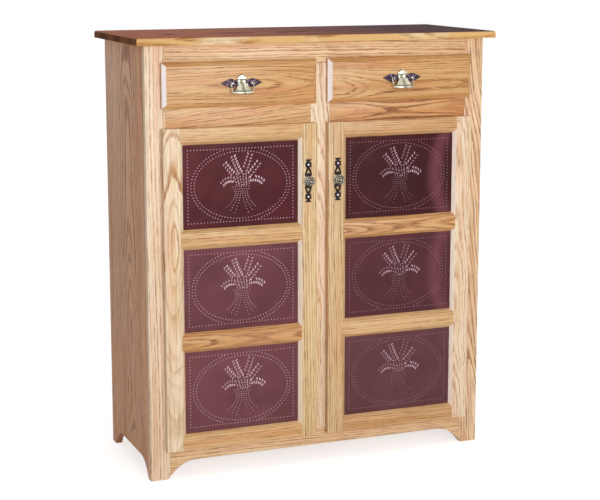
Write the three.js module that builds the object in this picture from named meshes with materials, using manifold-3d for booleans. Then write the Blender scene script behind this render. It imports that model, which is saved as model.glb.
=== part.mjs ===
// Oak pie safe: two drawers over two doors, each door with three punched tin panels.
// Millimetres, +Z up, front towards -Y. The origin is on the floor, under the middle of the whole box.
import * as THREE from "three";
import { mergeVertices } from "three/addons/utils/BufferGeometryUtils.js";
import { ConvexGeometry } from "three/addons/geometries/ConvexGeometry.js";
import Module from "manifold-3d";

const wasm = await Module();
wasm.setup();

// Cabinet body
const bodyWidth = 1016;
const bodyDepth = 406;
const boardThickness = 19;
const topThickness = 20;
const topSideOverhang = 27;
const topFrontOverhang = 26;
const topBackOverhang = 12;
const topEdgeRadius = 6;

// Face frame, as it shows between the doors and drawers, from the floor up and from the side in
const skirtClearance = 50;
const bottomReveal = 34;
const doorHeight = 902;
const middleReveal = 53.5;
const drawerFrontHeight = 124.5;
const topReveal = 46;
const sideReveal = 44;
const centerReveal = 34;
const overlay = 12.5;

// Feet, cut out of the stiles, the bottom rail and the sides by one curve
const footWidth = 50;
const frontCurveRun = 85;
const sideFootDepth = 24;
const sideCurveRun = 75;
const rearFootDepth = 35;
const curveControlShare = 0.41;

// Case joinery
const jointGap = 0.25;
const dadoDepth = 8;
const backThickness = 6;
const backRabbetWidth = 10;
const deckThickness = 12;
const guideHeight = 15;
const shelfSetback = 26;
const cutterOverrun = 5;

// Doors
const closingGap = 0.5;
const doorStileWidth = 55.5;
const doorEndRailWidth = 46;
const doorMiddleRailWidth = 56;
const chamferWidth = 10;
const chamferDepth = 9;
const lipDepth = 10;
const rabbetWidth = 9.5;
const tinThickness = 0.6;
const tinClearance = 0.5;

// Concealed hinges
const cupRadius = 17.5;
const cupDepth = 12;
const cupWall = 1;
const cupEdgeDistance = 5;
const hingeInset = 100;
const armReach = 6;
const armThickness = 6;
const armHeight = 10;
const hingePlateThickness = 2.5;
const hingePlateHeight = 42;
const hingePlateDepth = 17;

// Door knobs and their pierced plates
const knobDrop = 161;
const plateThickness = 2;
const rosetteRadius = 8.75;
const rosetteLobes = 6;
const rosetteLobeShare = 0.14;
const rosetteDistance = 45;
const finialWidth = 17;
const finialLength = 8;
const strutSpread = 20;
const strutWidth = 4;
const plateDiscRadius = 11;
const knobRadius = 13.5;
const knobLength = 24;

// Drawers
const drawerChamfer = 11;
const drawerSideThickness = 12;
const drawerBottomThickness = 6;
const drawerBottomLift = 12;
const drawerBoxHeight = 90;
const drawerBoxDepth = 385;
const drawerSideGap = 2;
const drawerRunGap = 0.25;
const grooveDepth = 6;

// Drawer pulls
const pullHalfWidth = 60;
const pullRise = 27;
const pullWingHeight = 14;
const pedimentDepth = 5;
const neckHalfWidth = 10;
const neckDepth = 3;
const neckGap = 1;
const postRadius = 2.5;
const postLength = 8;
const postSpacing = 56;
const pivotRise = 2;
const bailRadius = 1.5;
const bailPinLength = 3;
const bailDrop = 26;
const bailFlare = 6;
const bellThickness = 1.75;
const bellTopWidth = 21;
const bellFootWidth = 50;
const lipHeight = 5;
const pinFit = 0.3;

// Smoothness of the round stretches
const curveSegments = 8;
const knobSegments = 20;
const cupSegments = 28;
const rosettePoints = 36;
const wireSides = 8;
const bailSteps = 28;
const topEdgeSteps = 4;

// Sizes that follow
const halfBody = bodyWidth / 2;
const doorWidth = halfBody - sideReveal - centerReveal / 2;
const doorBottom = skirtClearance + bottomReveal;
const doorTop = doorBottom + doorHeight;
const drawerFrontBottom = doorTop + middleReveal;
const drawerFrontTop = drawerFrontBottom + drawerFrontHeight;
const bodyHeight = drawerFrontTop + topReveal;
const stileWidth = sideReveal + overlay;
const centerStileWidth = centerReveal + overlay + overlay;
const bottomRailTop = doorBottom + overlay;
const middleRailBottom = doorTop - overlay;
const middleRailTop = drawerFrontBottom + overlay;
const topRailBottom = drawerFrontTop - overlay;
const openingWidth = halfBody - stileWidth - centerStileWidth / 2;
const tinOpeningWidth = doorWidth - 2 * doorStileWidth;
const tinOpeningHeight = (doorHeight - 2 * doorEndRailWidth - 2 * doorMiddleRailWidth) / 3;
const sideInner = halfBody - boardThickness;
const backFace = bodyDepth - backThickness;
const drawerCenter = (doorWidth + centerReveal) / 2;
const drawerBoxWidth = openingWidth - 2 * drawerSideGap;
const knobHeight = doorHeight - knobDrop;
const pullPivotDepth = plateThickness + postLength - postRadius;
const frontMost = closingGap + boardThickness + plateThickness + 2 * jointGap + knobLength;
const backMost = bodyDepth + topBackOverhang;
const bodyOffset = (frontMost - backMost) / 2;

// Finishes
const finishes = {
  oak: { color: 0xd8ae78, roughness: 0.45, metalness: 0 },
  stainedOak: { color: 0x7c4f3c, roughness: 0.4, metalness: 0 },
  plywood: { color: 0xc9a878, roughness: 0.6, metalness: 0 },
  drawerWood: { color: 0xdcc199, roughness: 0.6, metalness: 0 },
  tin: { color: 0x5d2c38, roughness: 0.4, metalness: 0.3 },
  darkIron: { color: 0x2f2826, roughness: 0.5, metalness: 0.8 },
  agedNickel: { color: 0xb9b19b, roughness: 0.3, metalness: 0.9 },
  steel: { color: 0xb4b6b8, roughness: 0.35, metalness: 1 },
};

// Helpers

// Directions of an outline's two axes and of its extrusion, so that all three turn the same way round.
const bases = {
  x: [[0, 1, 0], [0, 0, 1], [1, 0, 0]],
  y: [[0, 0, 1], [1, 0, 0], [0, 1, 0]],
  z: [[1, 0, 0], [0, 1, 0], [0, 0, 1]],
};

function turnedTo(axis) {
  const [across, up, along] = bases[axis].map((v) => new THREE.Vector3(...v));
  return new THREE.Matrix4().makeBasis(across, up, along);
}

function shapeOf(points) {
  return new THREE.Shape(points.map(([a, b]) => new THREE.Vector2(a, b)));
}

// An outline extruded along an axis. Its points are (x, y) along z, (y, z) along x and (z, x) along y.
function prism(shape, length, axis) {
  const outline = Array.isArray(shape) ? shapeOf(shape) : shape;
  const options = { depth: length, bevelEnabled: false, curveSegments };
  return new THREE.ExtrudeGeometry(outline, options).applyMatrix4(turnedTo(axis));
}

// A box given by its low corner and its size.
function block([x, y, z], [width, depth, height]) {
  const box = new THREE.BoxGeometry(width, depth, height);
  return box.translate(x + width / 2, y + depth / 2, z + height / 2);
}

function solid(geometry) {
  const bare = geometry.clone();
  bare.deleteAttribute("normal");
  bare.deleteAttribute("uv");
  const merged = mergeVertices(bare);
  const mesh = new wasm.Mesh({
    numProp: 3,
    vertProperties: merged.attributes.position.array,
    triVerts: new Uint32Array(merged.index.array),
  });
  return new wasm.Manifold(mesh);
}

function geometryOf(manifold) {
  const mesh = manifold.getMesh();
  const geometry = new THREE.BufferGeometry();
  geometry.setAttribute("position", new THREE.BufferAttribute(mesh.vertProperties, 3));
  geometry.setIndex(new THREE.BufferAttribute(mesh.triVerts, 1));
  geometry.computeVertexNormals();
  return geometry;
}

function cut(geometry, ...cutters) {
  const start = solid(geometry);
  return geometryOf(cutters.reduce((left, cutter) => left.subtract(solid(cutter)), start));
}

function joined(...parts) {
  return geometryOf(parts.map(solid).reduce((all, next) => all.add(next)));
}

function piece(name, finish, geometry, [x, y, z] = [0, 0, 0]) {
  const mesh = new THREE.Mesh(geometry, new THREE.MeshStandardMaterial(finish));
  mesh.name = name;
  mesh.position.set(x, y, z);
  return mesh;
}

// A plain board given by its low corner and its size.
function board(name, finish, corner, size) {
  const [width, depth, height] = size;
  const middle = [corner[0] + width / 2, corner[1] + depth / 2, corner[2] + height / 2];
  return piece(name, finish, new THREE.BoxGeometry(width, depth, height), middle);
}

// Face frame, in front of the case: its front is at y = 0

// The space under the front skirt, which shapes the stiles' feet and the bottom rail.
function skirtCutter() {
  const foot = halfBody - footWidth;
  const control = foot - frontCurveRun * curveControlShare;
  const flat = foot - frontCurveRun;
  const shape = new THREE.Shape();
  shape.moveTo(-cutterOverrun, foot);
  shape.lineTo(0, foot);
  shape.quadraticCurveTo(skirtClearance, control, skirtClearance, flat);
  shape.lineTo(skirtClearance, -flat);
  shape.quadraticCurveTo(skirtClearance, -control, 0, -foot);
  shape.lineTo(-cutterOverrun, -foot);
  const length = boardThickness + 2 * cutterOverrun;
  return prism(shape, length, "y").translate(0, -cutterOverrun, 0);
}

function faceStile(name, side) {
  const low = side < 0 ? -halfBody : halfBody - stileWidth;
  const blank = block([low, 0, 0], [stileWidth, boardThickness, bodyHeight]);
  return piece(name, finishes.oak, cut(blank, skirtCutter()));
}

function faceBottomRail() {
  const half = halfBody - stileWidth - jointGap;
  const blank = block([-half, 0, 0], [2 * half, boardThickness, bottomRailTop]);
  return piece("face_bottom_rail", finishes.oak, cut(blank, skirtCutter()));
}

function faceRail(name, low, high, bottom, top) {
  const size = [high - low - 2 * jointGap, boardThickness, top - bottom];
  return board(name, finishes.oak, [low + jointGap, 0, bottom], size);
}

function faceFrame() {
  const inner = halfBody - stileWidth;
  const centerHalf = centerStileWidth / 2;
  const centerHeight = topRailBottom - bottomRailTop - 2 * jointGap;
  const group = new THREE.Group();
  group.add(
    faceStile("face_stile_left", -1),
    faceStile("face_stile_right", 1),
    faceBottomRail(),
    faceRail("face_top_rail", -inner, inner, topRailBottom, bodyHeight),
    faceRail("face_middle_rail_left", -inner, -centerHalf, middleRailBottom, middleRailTop),
    faceRail("face_middle_rail_right", centerHalf, inner, middleRailBottom, middleRailTop),
    board(
      "face_stile_center",
      finishes.oak,
      [-centerHalf, 0, bottomRailTop + jointGap],
      [centerStileWidth, boardThickness, centerHeight],
    ),
  );
  return group;
}

// Case behind the face frame

const caseFront = boardThickness + jointGap;
const shelfBottoms = [1, 2].map((step) => {
  const railPitch = tinOpeningHeight + doorMiddleRailWidth;
  const railCenter = doorBottom + doorEndRailWidth - doorMiddleRailWidth / 2 + step * railPitch;
  return railCenter - boardThickness / 2;
});
const caseBottomLow = bottomRailTop - boardThickness;
const deckLow = middleRailTop - deckThickness;
const dadoes = [
  [caseBottomLow, boardThickness],
  [shelfBottoms[0], boardThickness],
  [shelfBottoms[1], boardThickness],
  [deckLow, deckThickness],
];

// The side board in (y, z), with its arch between the feet.
function sideOutline() {
  const rear = bodyDepth - rearFootDepth;
  const frontControl = sideFootDepth + sideCurveRun * curveControlShare;
  const rearControl = rear - sideCurveRun * curveControlShare;
  const shape = new THREE.Shape();
  shape.moveTo(caseFront, 0);
  shape.lineTo(sideFootDepth, 0);
  shape.quadraticCurveTo(
    frontControl,
    skirtClearance,
    sideFootDepth + sideCurveRun,
    skirtClearance,
  );
  shape.lineTo(rear - sideCurveRun, skirtClearance);
  shape.quadraticCurveTo(rearControl, skirtClearance, rear, 0);
  shape.lineTo(bodyDepth, 0);
  shape.lineTo(bodyDepth, bodyHeight);
  shape.lineTo(caseFront, bodyHeight);
  return shape;
}

// The left side, with a dado for each board that it holds and a rabbet for the back.
function caseSide(name, side) {
  const blank = prism(sideOutline(), boardThickness, "x").translate(-halfBody, 0, 0);
  const slotLow = -sideInner - dadoDepth;
  const slots = dadoes.map(([bottom, thickness]) =>
    block(
      [slotLow, boardThickness - cutterOverrun, bottom - jointGap],
      [dadoDepth + cutterOverrun, bodyDepth, thickness + 2 * jointGap],
    ),
  );
  const rabbet = block(
    [-sideInner - backRabbetWidth, backFace - jointGap, caseBottomLow - jointGap],
    [backRabbetWidth + cutterOverrun, backThickness + cutterOverrun, bodyHeight],
  );
  const mesh = piece(name, finishes.oak, cut(blank, ...slots, rabbet));
  mesh.scale.x = -side;
  return mesh;
}

function caseBoard(name, finish, front, bottom, thickness) {
  const half = sideInner + dadoDepth - jointGap;
  const depth = backFace - 2 * jointGap - front;
  return board(name, finish, [-half, front, bottom], [2 * half, depth, thickness]);
}

// The deck under the drawers, with the guides that the drawer boxes run between.
function drawerDeck() {
  const half = sideInner + dadoDepth - jointGap;
  const depth = backFace - 2 * jointGap - caseFront;
  const guideLow = deckLow + deckThickness / 2;
  const guideSize = guideHeight + deckThickness / 2;
  const guideAt = (low, high) => block([low, caseFront, guideLow], [high - low, depth, guideSize]);
  const sideLow = halfBody - stileWidth;
  const sideHigh = sideInner - jointGap;
  const slab = block([-half, caseFront, deckLow], [2 * half, depth, deckThickness]);
  const centerGuide = guideAt(-centerStileWidth / 2, centerStileWidth / 2);
  const geometry = joined(
    slab,
    centerGuide,
    guideAt(-sideHigh, -sideLow),
    guideAt(sideLow, sideHigh),
  );
  return piece("drawer_deck", finishes.plywood, geometry);
}

function backPanel() {
  const half = sideInner + backRabbetWidth - jointGap;
  const height = bodyHeight - caseBottomLow - jointGap;
  const size = [2 * half, backThickness, height];
  return board("back_panel", finishes.plywood, [-half, backFace, caseBottomLow], size);
}

// The top board, rounded over along its upper edges.
function topBoard() {
  const left = -halfBody - topSideOverhang;
  const right = halfBody + topSideOverhang;
  const low = bodyHeight + jointGap;
  const points = [];
  const ring = (inset, z) => {
    for (const x of [left + inset, right - inset]) {
      for (const y of [-topFrontOverhang + inset, bodyDepth + topBackOverhang - inset]) {
        points.push(new THREE.Vector3(x, y, z));
      }
    }
  };
  ring(0, low);
  for (let step = 0; step <= topEdgeSteps; step += 1) {
    const angle = ((Math.PI / 2) * step) / topEdgeSteps;
    const inset = topEdgeRadius * (1 - Math.cos(angle));
    ring(inset, low + topThickness - topEdgeRadius * (1 - Math.sin(angle)));
  }
  return piece("top_board", finishes.stainedOak, new ConvexGeometry(points));
}

function carcass() {
  const group = new THREE.Group();
  group.add(
    topBoard(),
    caseSide("left_side", -1),
    caseSide("right_side", 1),
    caseBoard("case_bottom", finishes.oak, caseFront, caseBottomLow, boardThickness),
    caseBoard(
      "lower_shelf",
      finishes.oak,
      caseFront + shelfSetback,
      shelfBottoms[0],
      boardThickness,
    ),
    caseBoard(
      "upper_shelf",
      finishes.oak,
      caseFront + shelfSetback,
      shelfBottoms[1],
      boardThickness,
    ),
    drawerDeck(),
    backPanel(),
  );
  return group;
}

// Doors: x runs from the hinge edge to the latch edge, y = 0 is the back face, z = 0 the bottom edge

// Cross-section of a door frame member, as (place across it, depth), square or moulded on its low side
// and always moulded on its high side.
function memberPoints(width, mouldedLow) {
  const front = -boardThickness;
  const back = front + lipDepth;
  const highSide = [
    [width - chamferWidth, front],
    [width, front + chamferDepth],
    [width, back],
    [width - rabbetWidth, back],
    [width - rabbetWidth, 0],
  ];
  const square = [[0, 0], [0, front]];
  const moulded = [
    [rabbetWidth, 0],
    [rabbetWidth, back],
    [0, back],
    [0, front + chamferDepth],
    [chamferWidth, front],
  ];
  return [...highSide, ...(mouldedLow ? moulded : square)];
}

function stileGeometry(growth) {
  const points = memberPoints(doorStileWidth, false).map(([across, depth]) => {
    const grown = across > doorStileWidth / 2 ? across + growth : across;
    return [grown, depth];
  });
  return prism(points, doorHeight, "z");
}

// The same closed surface, mirrored left to right about the door's middle.
function mirroredInDoor(geometry) {
  const mirrored = geometry.clone().scale(-1, 1, 1).translate(doorWidth, 0, 0);
  const index = mirrored.index.array;
  for (let at = 0; at < index.length; at += 3) {
    [index[at + 1], index[at + 2]] = [index[at + 2], index[at + 1]];
  }
  return mirrored;
}

// What a rail's ends are coped to: the stiles' moulded sides, a joint's width larger.
function copeCutters() {
  const grown = stileGeometry(jointGap);
  const hingeSide = joined(grown, grown.clone().translate(0, jointGap, 0));
  return [hingeSide, mirroredInDoor(hingeSide)];
}

const copes = copeCutters();

// A rail between the stiles. Its low side is moulded where a panel sits under it.
function doorRail(name, bottom, width, sides) {
  const back = doorStileWidth - rabbetWidth;
  const length = doorWidth - 2 * (back - chamferWidth);
  const points = memberPoints(width, sides === "both").map(([across, depth]) => {
    const up = sides === "below" ? width - across : across;
    return [depth, up];
  });
  const blank = prism(points, length, "x").translate(back - chamferWidth, 0, bottom);
  return piece(name, finishes.oak, cut(blank, ...copes));
}

const cupCenter = cupEdgeDistance + cupRadius;
const hingeHeights = [
  ["lower", hingeInset],
  ["upper", doorHeight - hingeInset],
];

function cupPocket(height) {
  const radius = cupRadius + jointGap;
  const depth = cupDepth + jointGap + cutterOverrun;
  const pocket = new THREE.CylinderGeometry(radius, radius, depth, cupSegments);
  return pocket.translate(cupCenter, depth / 2 - cupDepth - jointGap, height);
}

function hingeStile(name) {
  const pockets = hingeHeights.map(([, height]) => cupPocket(height));
  return piece(name, finishes.oak, cut(stileGeometry(0), ...pockets));
}

function latchStile(name) {
  const mesh = piece(name, finishes.oak, stileGeometry(0), [doorWidth, 0, 0]);
  mesh.scale.x = -1;
  return mesh;
}

function hingeCup(name, height) {
  const inner = cupRadius - cupWall;
  const profile = [
    [0, 0],
    [cupRadius, 0],
    [cupRadius, cupDepth],
    [inner, cupDepth],
    [inner, cupWall],
    [0, cupWall],
  ];
  const points = profile.map(([r, y]) => new THREE.Vector2(r, y));
  const cup = new THREE.LatheGeometry(points, cupSegments);
  return piece(name, finishes.steel, cup, [cupCenter, -cupDepth, height]);
}

// The fixed half of a hinge: a plate on the edge of the face frame and an arm that reaches into the cup.
function hingeArm(name, height) {
  const edge = overlay + jointGap;
  const plateBack = closingGap + hingePlateDepth;
  const plate = block(
    [edge, closingGap, height - hingePlateHeight / 2],
    [hingePlateThickness, hingePlateDepth, hingePlateHeight],
  );
  const arm = block(
    [edge, -armReach, height - armHeight / 2],
    [armThickness, armReach + plateBack, armHeight],
  );
  return piece(name, finishes.steel, joined(plate, arm));
}

function tinPanel(name, row) {
  const lap = rabbetWidth - tinClearance;
  const pitch = tinOpeningHeight + doorMiddleRailWidth;
  const corner = [
    doorStileWidth - lap,
    lipDepth - boardThickness + jointGap,
    doorEndRailWidth + row * pitch - lap,
  ];
  const size = [tinOpeningWidth + 2 * lap, tinThickness, tinOpeningHeight + 2 * lap];
  return board(name, finishes.tin, corner, size);
}

// Door hardware

// A lobed rosette in (z, x), about its own middle.
function rosette(middle) {
  const points = [];
  for (let step = 0; step < rosettePoints; step += 1) {
    const angle = (2 * Math.PI * step) / rosettePoints;
    const radius = rosetteRadius * (1 + rosetteLobeShare * Math.cos(rosetteLobes * angle));
    points.push([middle + radius * Math.cos(angle), radius * Math.sin(angle)]);
  }
  return prism(points, plateThickness, "y");
}

// A crown of three points past the rosette, in (z, x).
function finial() {
  const base = rosetteDistance + rosetteRadius * (1 - rosetteLobeShare);
  const tip = base + finialLength;
  const points = [
    [base - strutWidth, -finialWidth / 4],
    [base, -finialWidth / 4],
    [tip - strutWidth / 2, -finialWidth / 2],
    [tip - strutWidth / 2, -finialWidth / 4],
    [tip, 0],
    [tip - strutWidth / 2, finialWidth / 4],
    [tip - strutWidth / 2, finialWidth / 2],
    [base, finialWidth / 4],
    [base - strutWidth, finialWidth / 4],
  ];
  return prism(points, plateThickness, "y");
}

// Two struts that spread from the rosette to the middle disc, with a bar across their feet.
function struts() {
  const apex = rosetteDistance - rosetteRadius / 2;
  const foot = plateDiscRadius + strutWidth;
  const half = strutSpread / 2;
  const outer = [
    [apex, -strutWidth],
    [apex, strutWidth],
    [foot, half],
    [plateDiscRadius, half],
    [plateDiscRadius - strutWidth, 0],
    [plateDiscRadius, -half],
    [foot, -half],
  ];
  const hole = [
    [apex - 2 * strutWidth, 0],
    [foot + strutWidth / 2, half - strutWidth],
    [foot + strutWidth / 2, strutWidth - half],
  ];
  const shape = shapeOf(outer);
  shape.holes.push(shapeOf(hole));
  return prism(shape, plateThickness, "y");
}

function knobPlate(name, [x, y, z]) {
  const disc = new THREE.CylinderGeometry(
    plateDiscRadius,
    plateDiscRadius,
    plateThickness,
    cupSegments,
  ).translate(0, plateThickness / 2, 0);
  const halfPlate = () => [rosette(rosetteDistance), finial(), struts()];
  const lower = halfPlate().map((part) => part.rotateY(Math.PI));
  return piece(name, finishes.darkIron, joined(disc, ...halfPlate(), ...lower), [x, y, z]);
}

function knob(name, [x, y, z]) {
  const profileShares = [
    [0, 0],
    [0.48, 0],
    [0.4, 0.14],
    [0.36, 0.34],
    [0.7, 0.46],
    [0.98, 0.6],
    [1, 0.7],
    [0.86, 0.8],
    [0.62, 0.82],
    [0.5, 0.92],
    [0.24, 0.99],
    [0, 1],
  ];
  const points = profileShares.map(
    ([r, h]) => new THREE.Vector2(r * knobRadius, h * knobLength),
  );
  const turned = new THREE.LatheGeometry(points, knobSegments).rotateX(Math.PI);
  return piece(name, finishes.agedNickel, turned, [x, y, z]);
}

function door(side) {
  const at = (part) => `${side}_door_${part}`;
  const rowBottom = (row) =>
    doorEndRailWidth + row * (tinOpeningHeight + doorMiddleRailWidth) - doorMiddleRailWidth;
  const handleAt = doorWidth - doorStileWidth / 2;
  const plateAt = -boardThickness - jointGap - plateThickness;
  const group = new THREE.Group();
  group.add(
    hingeStile(at("hinge_stile")),
    latchStile(at("latch_stile")),
    doorRail(at("bottom_rail"), 0, doorEndRailWidth, "above"),
    doorRail(at("lower_middle_rail"), rowBottom(1), doorMiddleRailWidth, "both"),
    doorRail(at("upper_middle_rail"), rowBottom(2), doorMiddleRailWidth, "both"),
    doorRail(at("top_rail"), doorHeight - doorEndRailWidth, doorEndRailWidth, "below"),
    tinPanel(at("tin_lower"), 0),
    tinPanel(at("tin_middle"), 1),
    tinPanel(at("tin_upper"), 2),
    knobPlate(at("knob_plate"), [handleAt, plateAt, knobHeight]),
    knob(at("knob"), [handleAt, plateAt - jointGap, knobHeight]),
  );
  for (const [end, height] of hingeHeights) {
    group.add(hingeCup(at(`${end}_hinge_cup`), height));
    group.add(hingeArm(at(`${end}_hinge_arm`), height));
  }
  return group;
}

function doors() {
  const group = new THREE.Group();
  for (const [side, sign] of [["left", 1], ["right", -1]]) {
    const leaf = door(side);
    leaf.position.set(sign * (sideReveal - halfBody), -closingGap, doorBottom);
    leaf.scale.x = sign;
    group.add(leaf);
  }
  return group;
}

// Drawers: x = 0 is the middle, y = 0 the back face of the front, z = 0 its bottom edge

const boxLow = overlay + drawerRunGap;
const boxHalf = drawerBoxWidth / 2;
const panelLow = boxLow + drawerBottomLift;
const boxFront = jointGap - dadoDepth;

function sideSlot(side, growth) {
  const outer = side < 0 ? -boxHalf : boxHalf - drawerSideThickness;
  return block(
    [outer - growth, -dadoDepth, boxLow - growth],
    [drawerSideThickness + 2 * growth, dadoDepth + cutterOverrun, drawerBoxHeight + 2 * growth],
  );
}

// The slot that a box piece needs for the drawer bottom.
function bottomGroove() {
  const half = boxHalf - drawerSideThickness + grooveDepth;
  return block(
    [-half, -grooveDepth, panelLow - jointGap],
    [2 * half, drawerBoxDepth + 2 * grooveDepth, drawerBottomThickness + 2 * jointGap],
  );
}

function drawerFront(name) {
  const half = doorWidth / 2;
  const points = [];
  const ring = (inset, y) => {
    for (const x of [-half + inset, half - inset]) {
      for (const z of [inset, drawerFrontHeight - inset]) {
        points.push(new THREE.Vector3(x, y, z));
      }
    }
  };
  ring(0, 0);
  ring(0, drawerChamfer - boardThickness);
  ring(drawerChamfer, -boardThickness);
  const slots = [sideSlot(-1, jointGap), sideSlot(1, jointGap), bottomGroove()];
  return piece(name, finishes.oak, cut(new ConvexGeometry(points), ...slots));
}

function drawerSide(name, side) {
  const outer = side < 0 ? -boxHalf : boxHalf - drawerSideThickness;
  const blank = block(
    [outer, boxFront, boxLow],
    [drawerSideThickness, drawerBoxDepth - boxFront, drawerBoxHeight],
  );
  return piece(name, finishes.drawerWood, cut(blank, bottomGroove()));
}

function drawerBack(name) {
  const half = boxHalf - drawerSideThickness - jointGap;
  const low = panelLow + drawerBottomThickness + jointGap;
  const size = [2 * half, drawerSideThickness, boxLow + drawerBoxHeight - low];
  const corner = [-half, drawerBoxDepth - drawerSideThickness, low];
  return board(name, finishes.drawerWood, corner, size);
}

function drawerBottom(name) {
  const half = boxHalf - drawerSideThickness + grooveDepth - jointGap;
  const front = jointGap - grooveDepth;
  const size = [2 * half, drawerBoxDepth - front, drawerBottomThickness];
  return board(name, finishes.plywood, [-half, front, panelLow], size);
}

// Drawer pulls: x = 0 is the middle, y = 0 the back of the plate, z = 0 the drawer front's middle

// A closed outline in (z, x) from its right half, given as (x, z) from the middle line round to it again.
function mirroredOutline(half) {
  const right = half.map(([x, z]) => [z, x]);
  const left = half.slice(1, -1).map(([x, z]) => [z, -x]);
  return [...right, ...left.reverse()];
}

// The back plate: two leaf-shaped wings and a roofed middle.
function pullPlateOutline() {
  const widthShares = [0, 0.14, 0.28, 0.3, 0.4, 0.5, 0.64, 0.8, 1, 0.8, 0.6, 0.46, 0.34, 0.18, 0];
  const riseShares = [1, 0.86, 0.6, 0.36, 0.28, 0.42, 0.52, 0.34, 0.1];
  const fallShares = [0.5, 1, 0.72, 0.86, 1.2, 1.36];
  const heights = [
    ...riseShares.map((share) => share * pullRise),
    ...fallShares.map((share) => -share * pullWingHeight),
  ];
  return mirroredOutline(widthShares.map((share, at) => [share * pullHalfWidth, heights[at]]));
}

function pediment() {
  const widthShares = [0, 0.12, 0.25, 0.25, 0];
  const riseShares = [0.96, 0.84, 0.58, 0.46, 0.46];
  const outline = widthShares.map((share, at) => [
    share * pullHalfWidth,
    riseShares[at] * pullRise,
  ]);
  const geometry = prism(mirroredOutline(outline), pedimentDepth + plateThickness, "y");
  return geometry.translate(0, -pedimentDepth - plateThickness, 0);
}

// The fixed neck under the roof, which the bell hangs in line with.
function pullNeck() {
  const low = pivotRise + bailRadius + neckGap;
  const high = pullRise / 2;
  return block(
    [-neckHalfWidth, -plateThickness - neckDepth, low],
    [2 * neckHalfWidth, neckDepth + plateThickness, high - low],
  );
}

function pullPost(side) {
  const length = plateThickness + postLength;
  const post = new THREE.CylinderGeometry(postRadius, postRadius, length, wireSides * 2);
  return post.translate((side * postSpacing) / 2, -length / 2, pivotRise);
}

function pullPlate(name, place) {
  const plate = prism(pullPlateOutline(), plateThickness, "y").translate(0, -plateThickness, 0);
  const geometry = joined(plate, pediment(), pullNeck(), pullPost(-1), pullPost(1));
  return piece(name, finishes.darkIron, geometry, place);
}

// The swinging bail, about its own pivot line: a wire loop, a bell-shaped web and a lip to pull on.
function bailLoop() {
  const reach = postSpacing / 2 + postRadius + bailPinLength;
  const sweepShares = [
    [1, 0, 0],
    [1, 0.12, 0.3],
    [0.97, 0.34, 0.62],
    [0.84, 0.7, 0.88],
    [0.6, 0.92, 0.98],
    [0.3, 1, 1],
  ];
  const at = (side) => ([x, flare, drop]) =>
    new THREE.Vector3(side * x * reach, -flare * bailFlare, -drop * bailDrop);
  const left = sweepShares.map(at(-1));
  const right = sweepShares.map(at(1)).reverse();
  const path = new THREE.CatmullRomCurve3([...left, ...right]);
  const section = new THREE.Shape();
  section.absarc(0, 0, bailRadius, 0, 2 * Math.PI);
  const options = { steps: bailSteps, curveSegments: wireSides / 2, extrudePath: path };
  return new THREE.ExtrudeGeometry(section, options);
}

function bailPin(side) {
  const inner = postSpacing / 2 + postRadius + pinFit;
  const outer = postSpacing / 2 + postRadius + bailPinLength;
  const pin = new THREE.CylinderGeometry(bailRadius, bailRadius, outer - inner, wireSides);
  return pin.rotateZ(Math.PI / 2).translate((side * (inner + outer)) / 2, 0, 0);
}

function bailBell() {
  const foot = bellFootWidth / bellTopWidth;
  const widthShares = [0, 1, 1, 1.08, 1.3, 0.8 * foot, foot, 0];
  const dropShares = [0, 0, 0.2, 0.45, 0.7, 0.86, 1, 1];
  const half = widthShares.map((share, at) => [
    (share * bellTopWidth) / 2,
    -dropShares[at] * bailDrop,
  ]);
  const geometry = prism(mirroredOutline(half), bellThickness, "y");
  return geometry.translate(0, -bailFlare - bellThickness / 2, 0);
}

function bailLip() {
  const depth = bailFlare + bellThickness;
  const points = [
    [-depth - bailRadius, -bailDrop - bailRadius],
    [bellThickness - bailFlare, -bailDrop - bailRadius],
    [bellThickness - bailFlare, -bailDrop + lipHeight / 2],
    [-bailFlare - bailRadius, -bailDrop + lipHeight],
    [-depth - bailRadius, -bailDrop],
  ];
  return prism(points, bellFootWidth, "x").translate(-bellFootWidth / 2, 0, 0);
}

function pullBail(name, place) {
  const geometry = joined(bailLoop(), bailPin(-1), bailPin(1), bailBell(), bailLip());
  return piece(name, finishes.agedNickel, geometry, place);
}

function drawer(side) {
  const at = (part) => `${side}_drawer_${part}`;
  const pullBack = -boardThickness - jointGap;
  const pullHeight = drawerFrontHeight / 2;
  const pivot = [0, pullBack - pullPivotDepth, pullHeight + pivotRise];
  const group = new THREE.Group();
  group.add(
    drawerFront(at("front")),
    drawerSide(at("left_side"), -1),
    drawerSide(at("right_side"), 1),
    drawerBack(at("back")),
    drawerBottom(at("bottom")),
    pullPlate(at("pull_plate"), [0, pullBack, pullHeight]),
    pullBail(at("pull_bail"), pivot),
  );
  return group;
}

function drawers() {
  const group = new THREE.Group();
  for (const [side, sign] of [["left", -1], ["right", 1]]) {
    const box = drawer(side);
    box.position.set(sign * drawerCenter, -closingGap, drawerFrontBottom);
    group.add(box);
  }
  return group;
}

// Assembly
const pieSafe = new THREE.Group();
pieSafe.add(carcass(), faceFrame(), doors(), drawers());
pieSafe.position.y = bodyOffset;

export default pieSafe;
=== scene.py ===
import math

import bmesh
import bpy
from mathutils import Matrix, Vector
from mathutils.geometry import delaunay_2d_cdt

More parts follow.
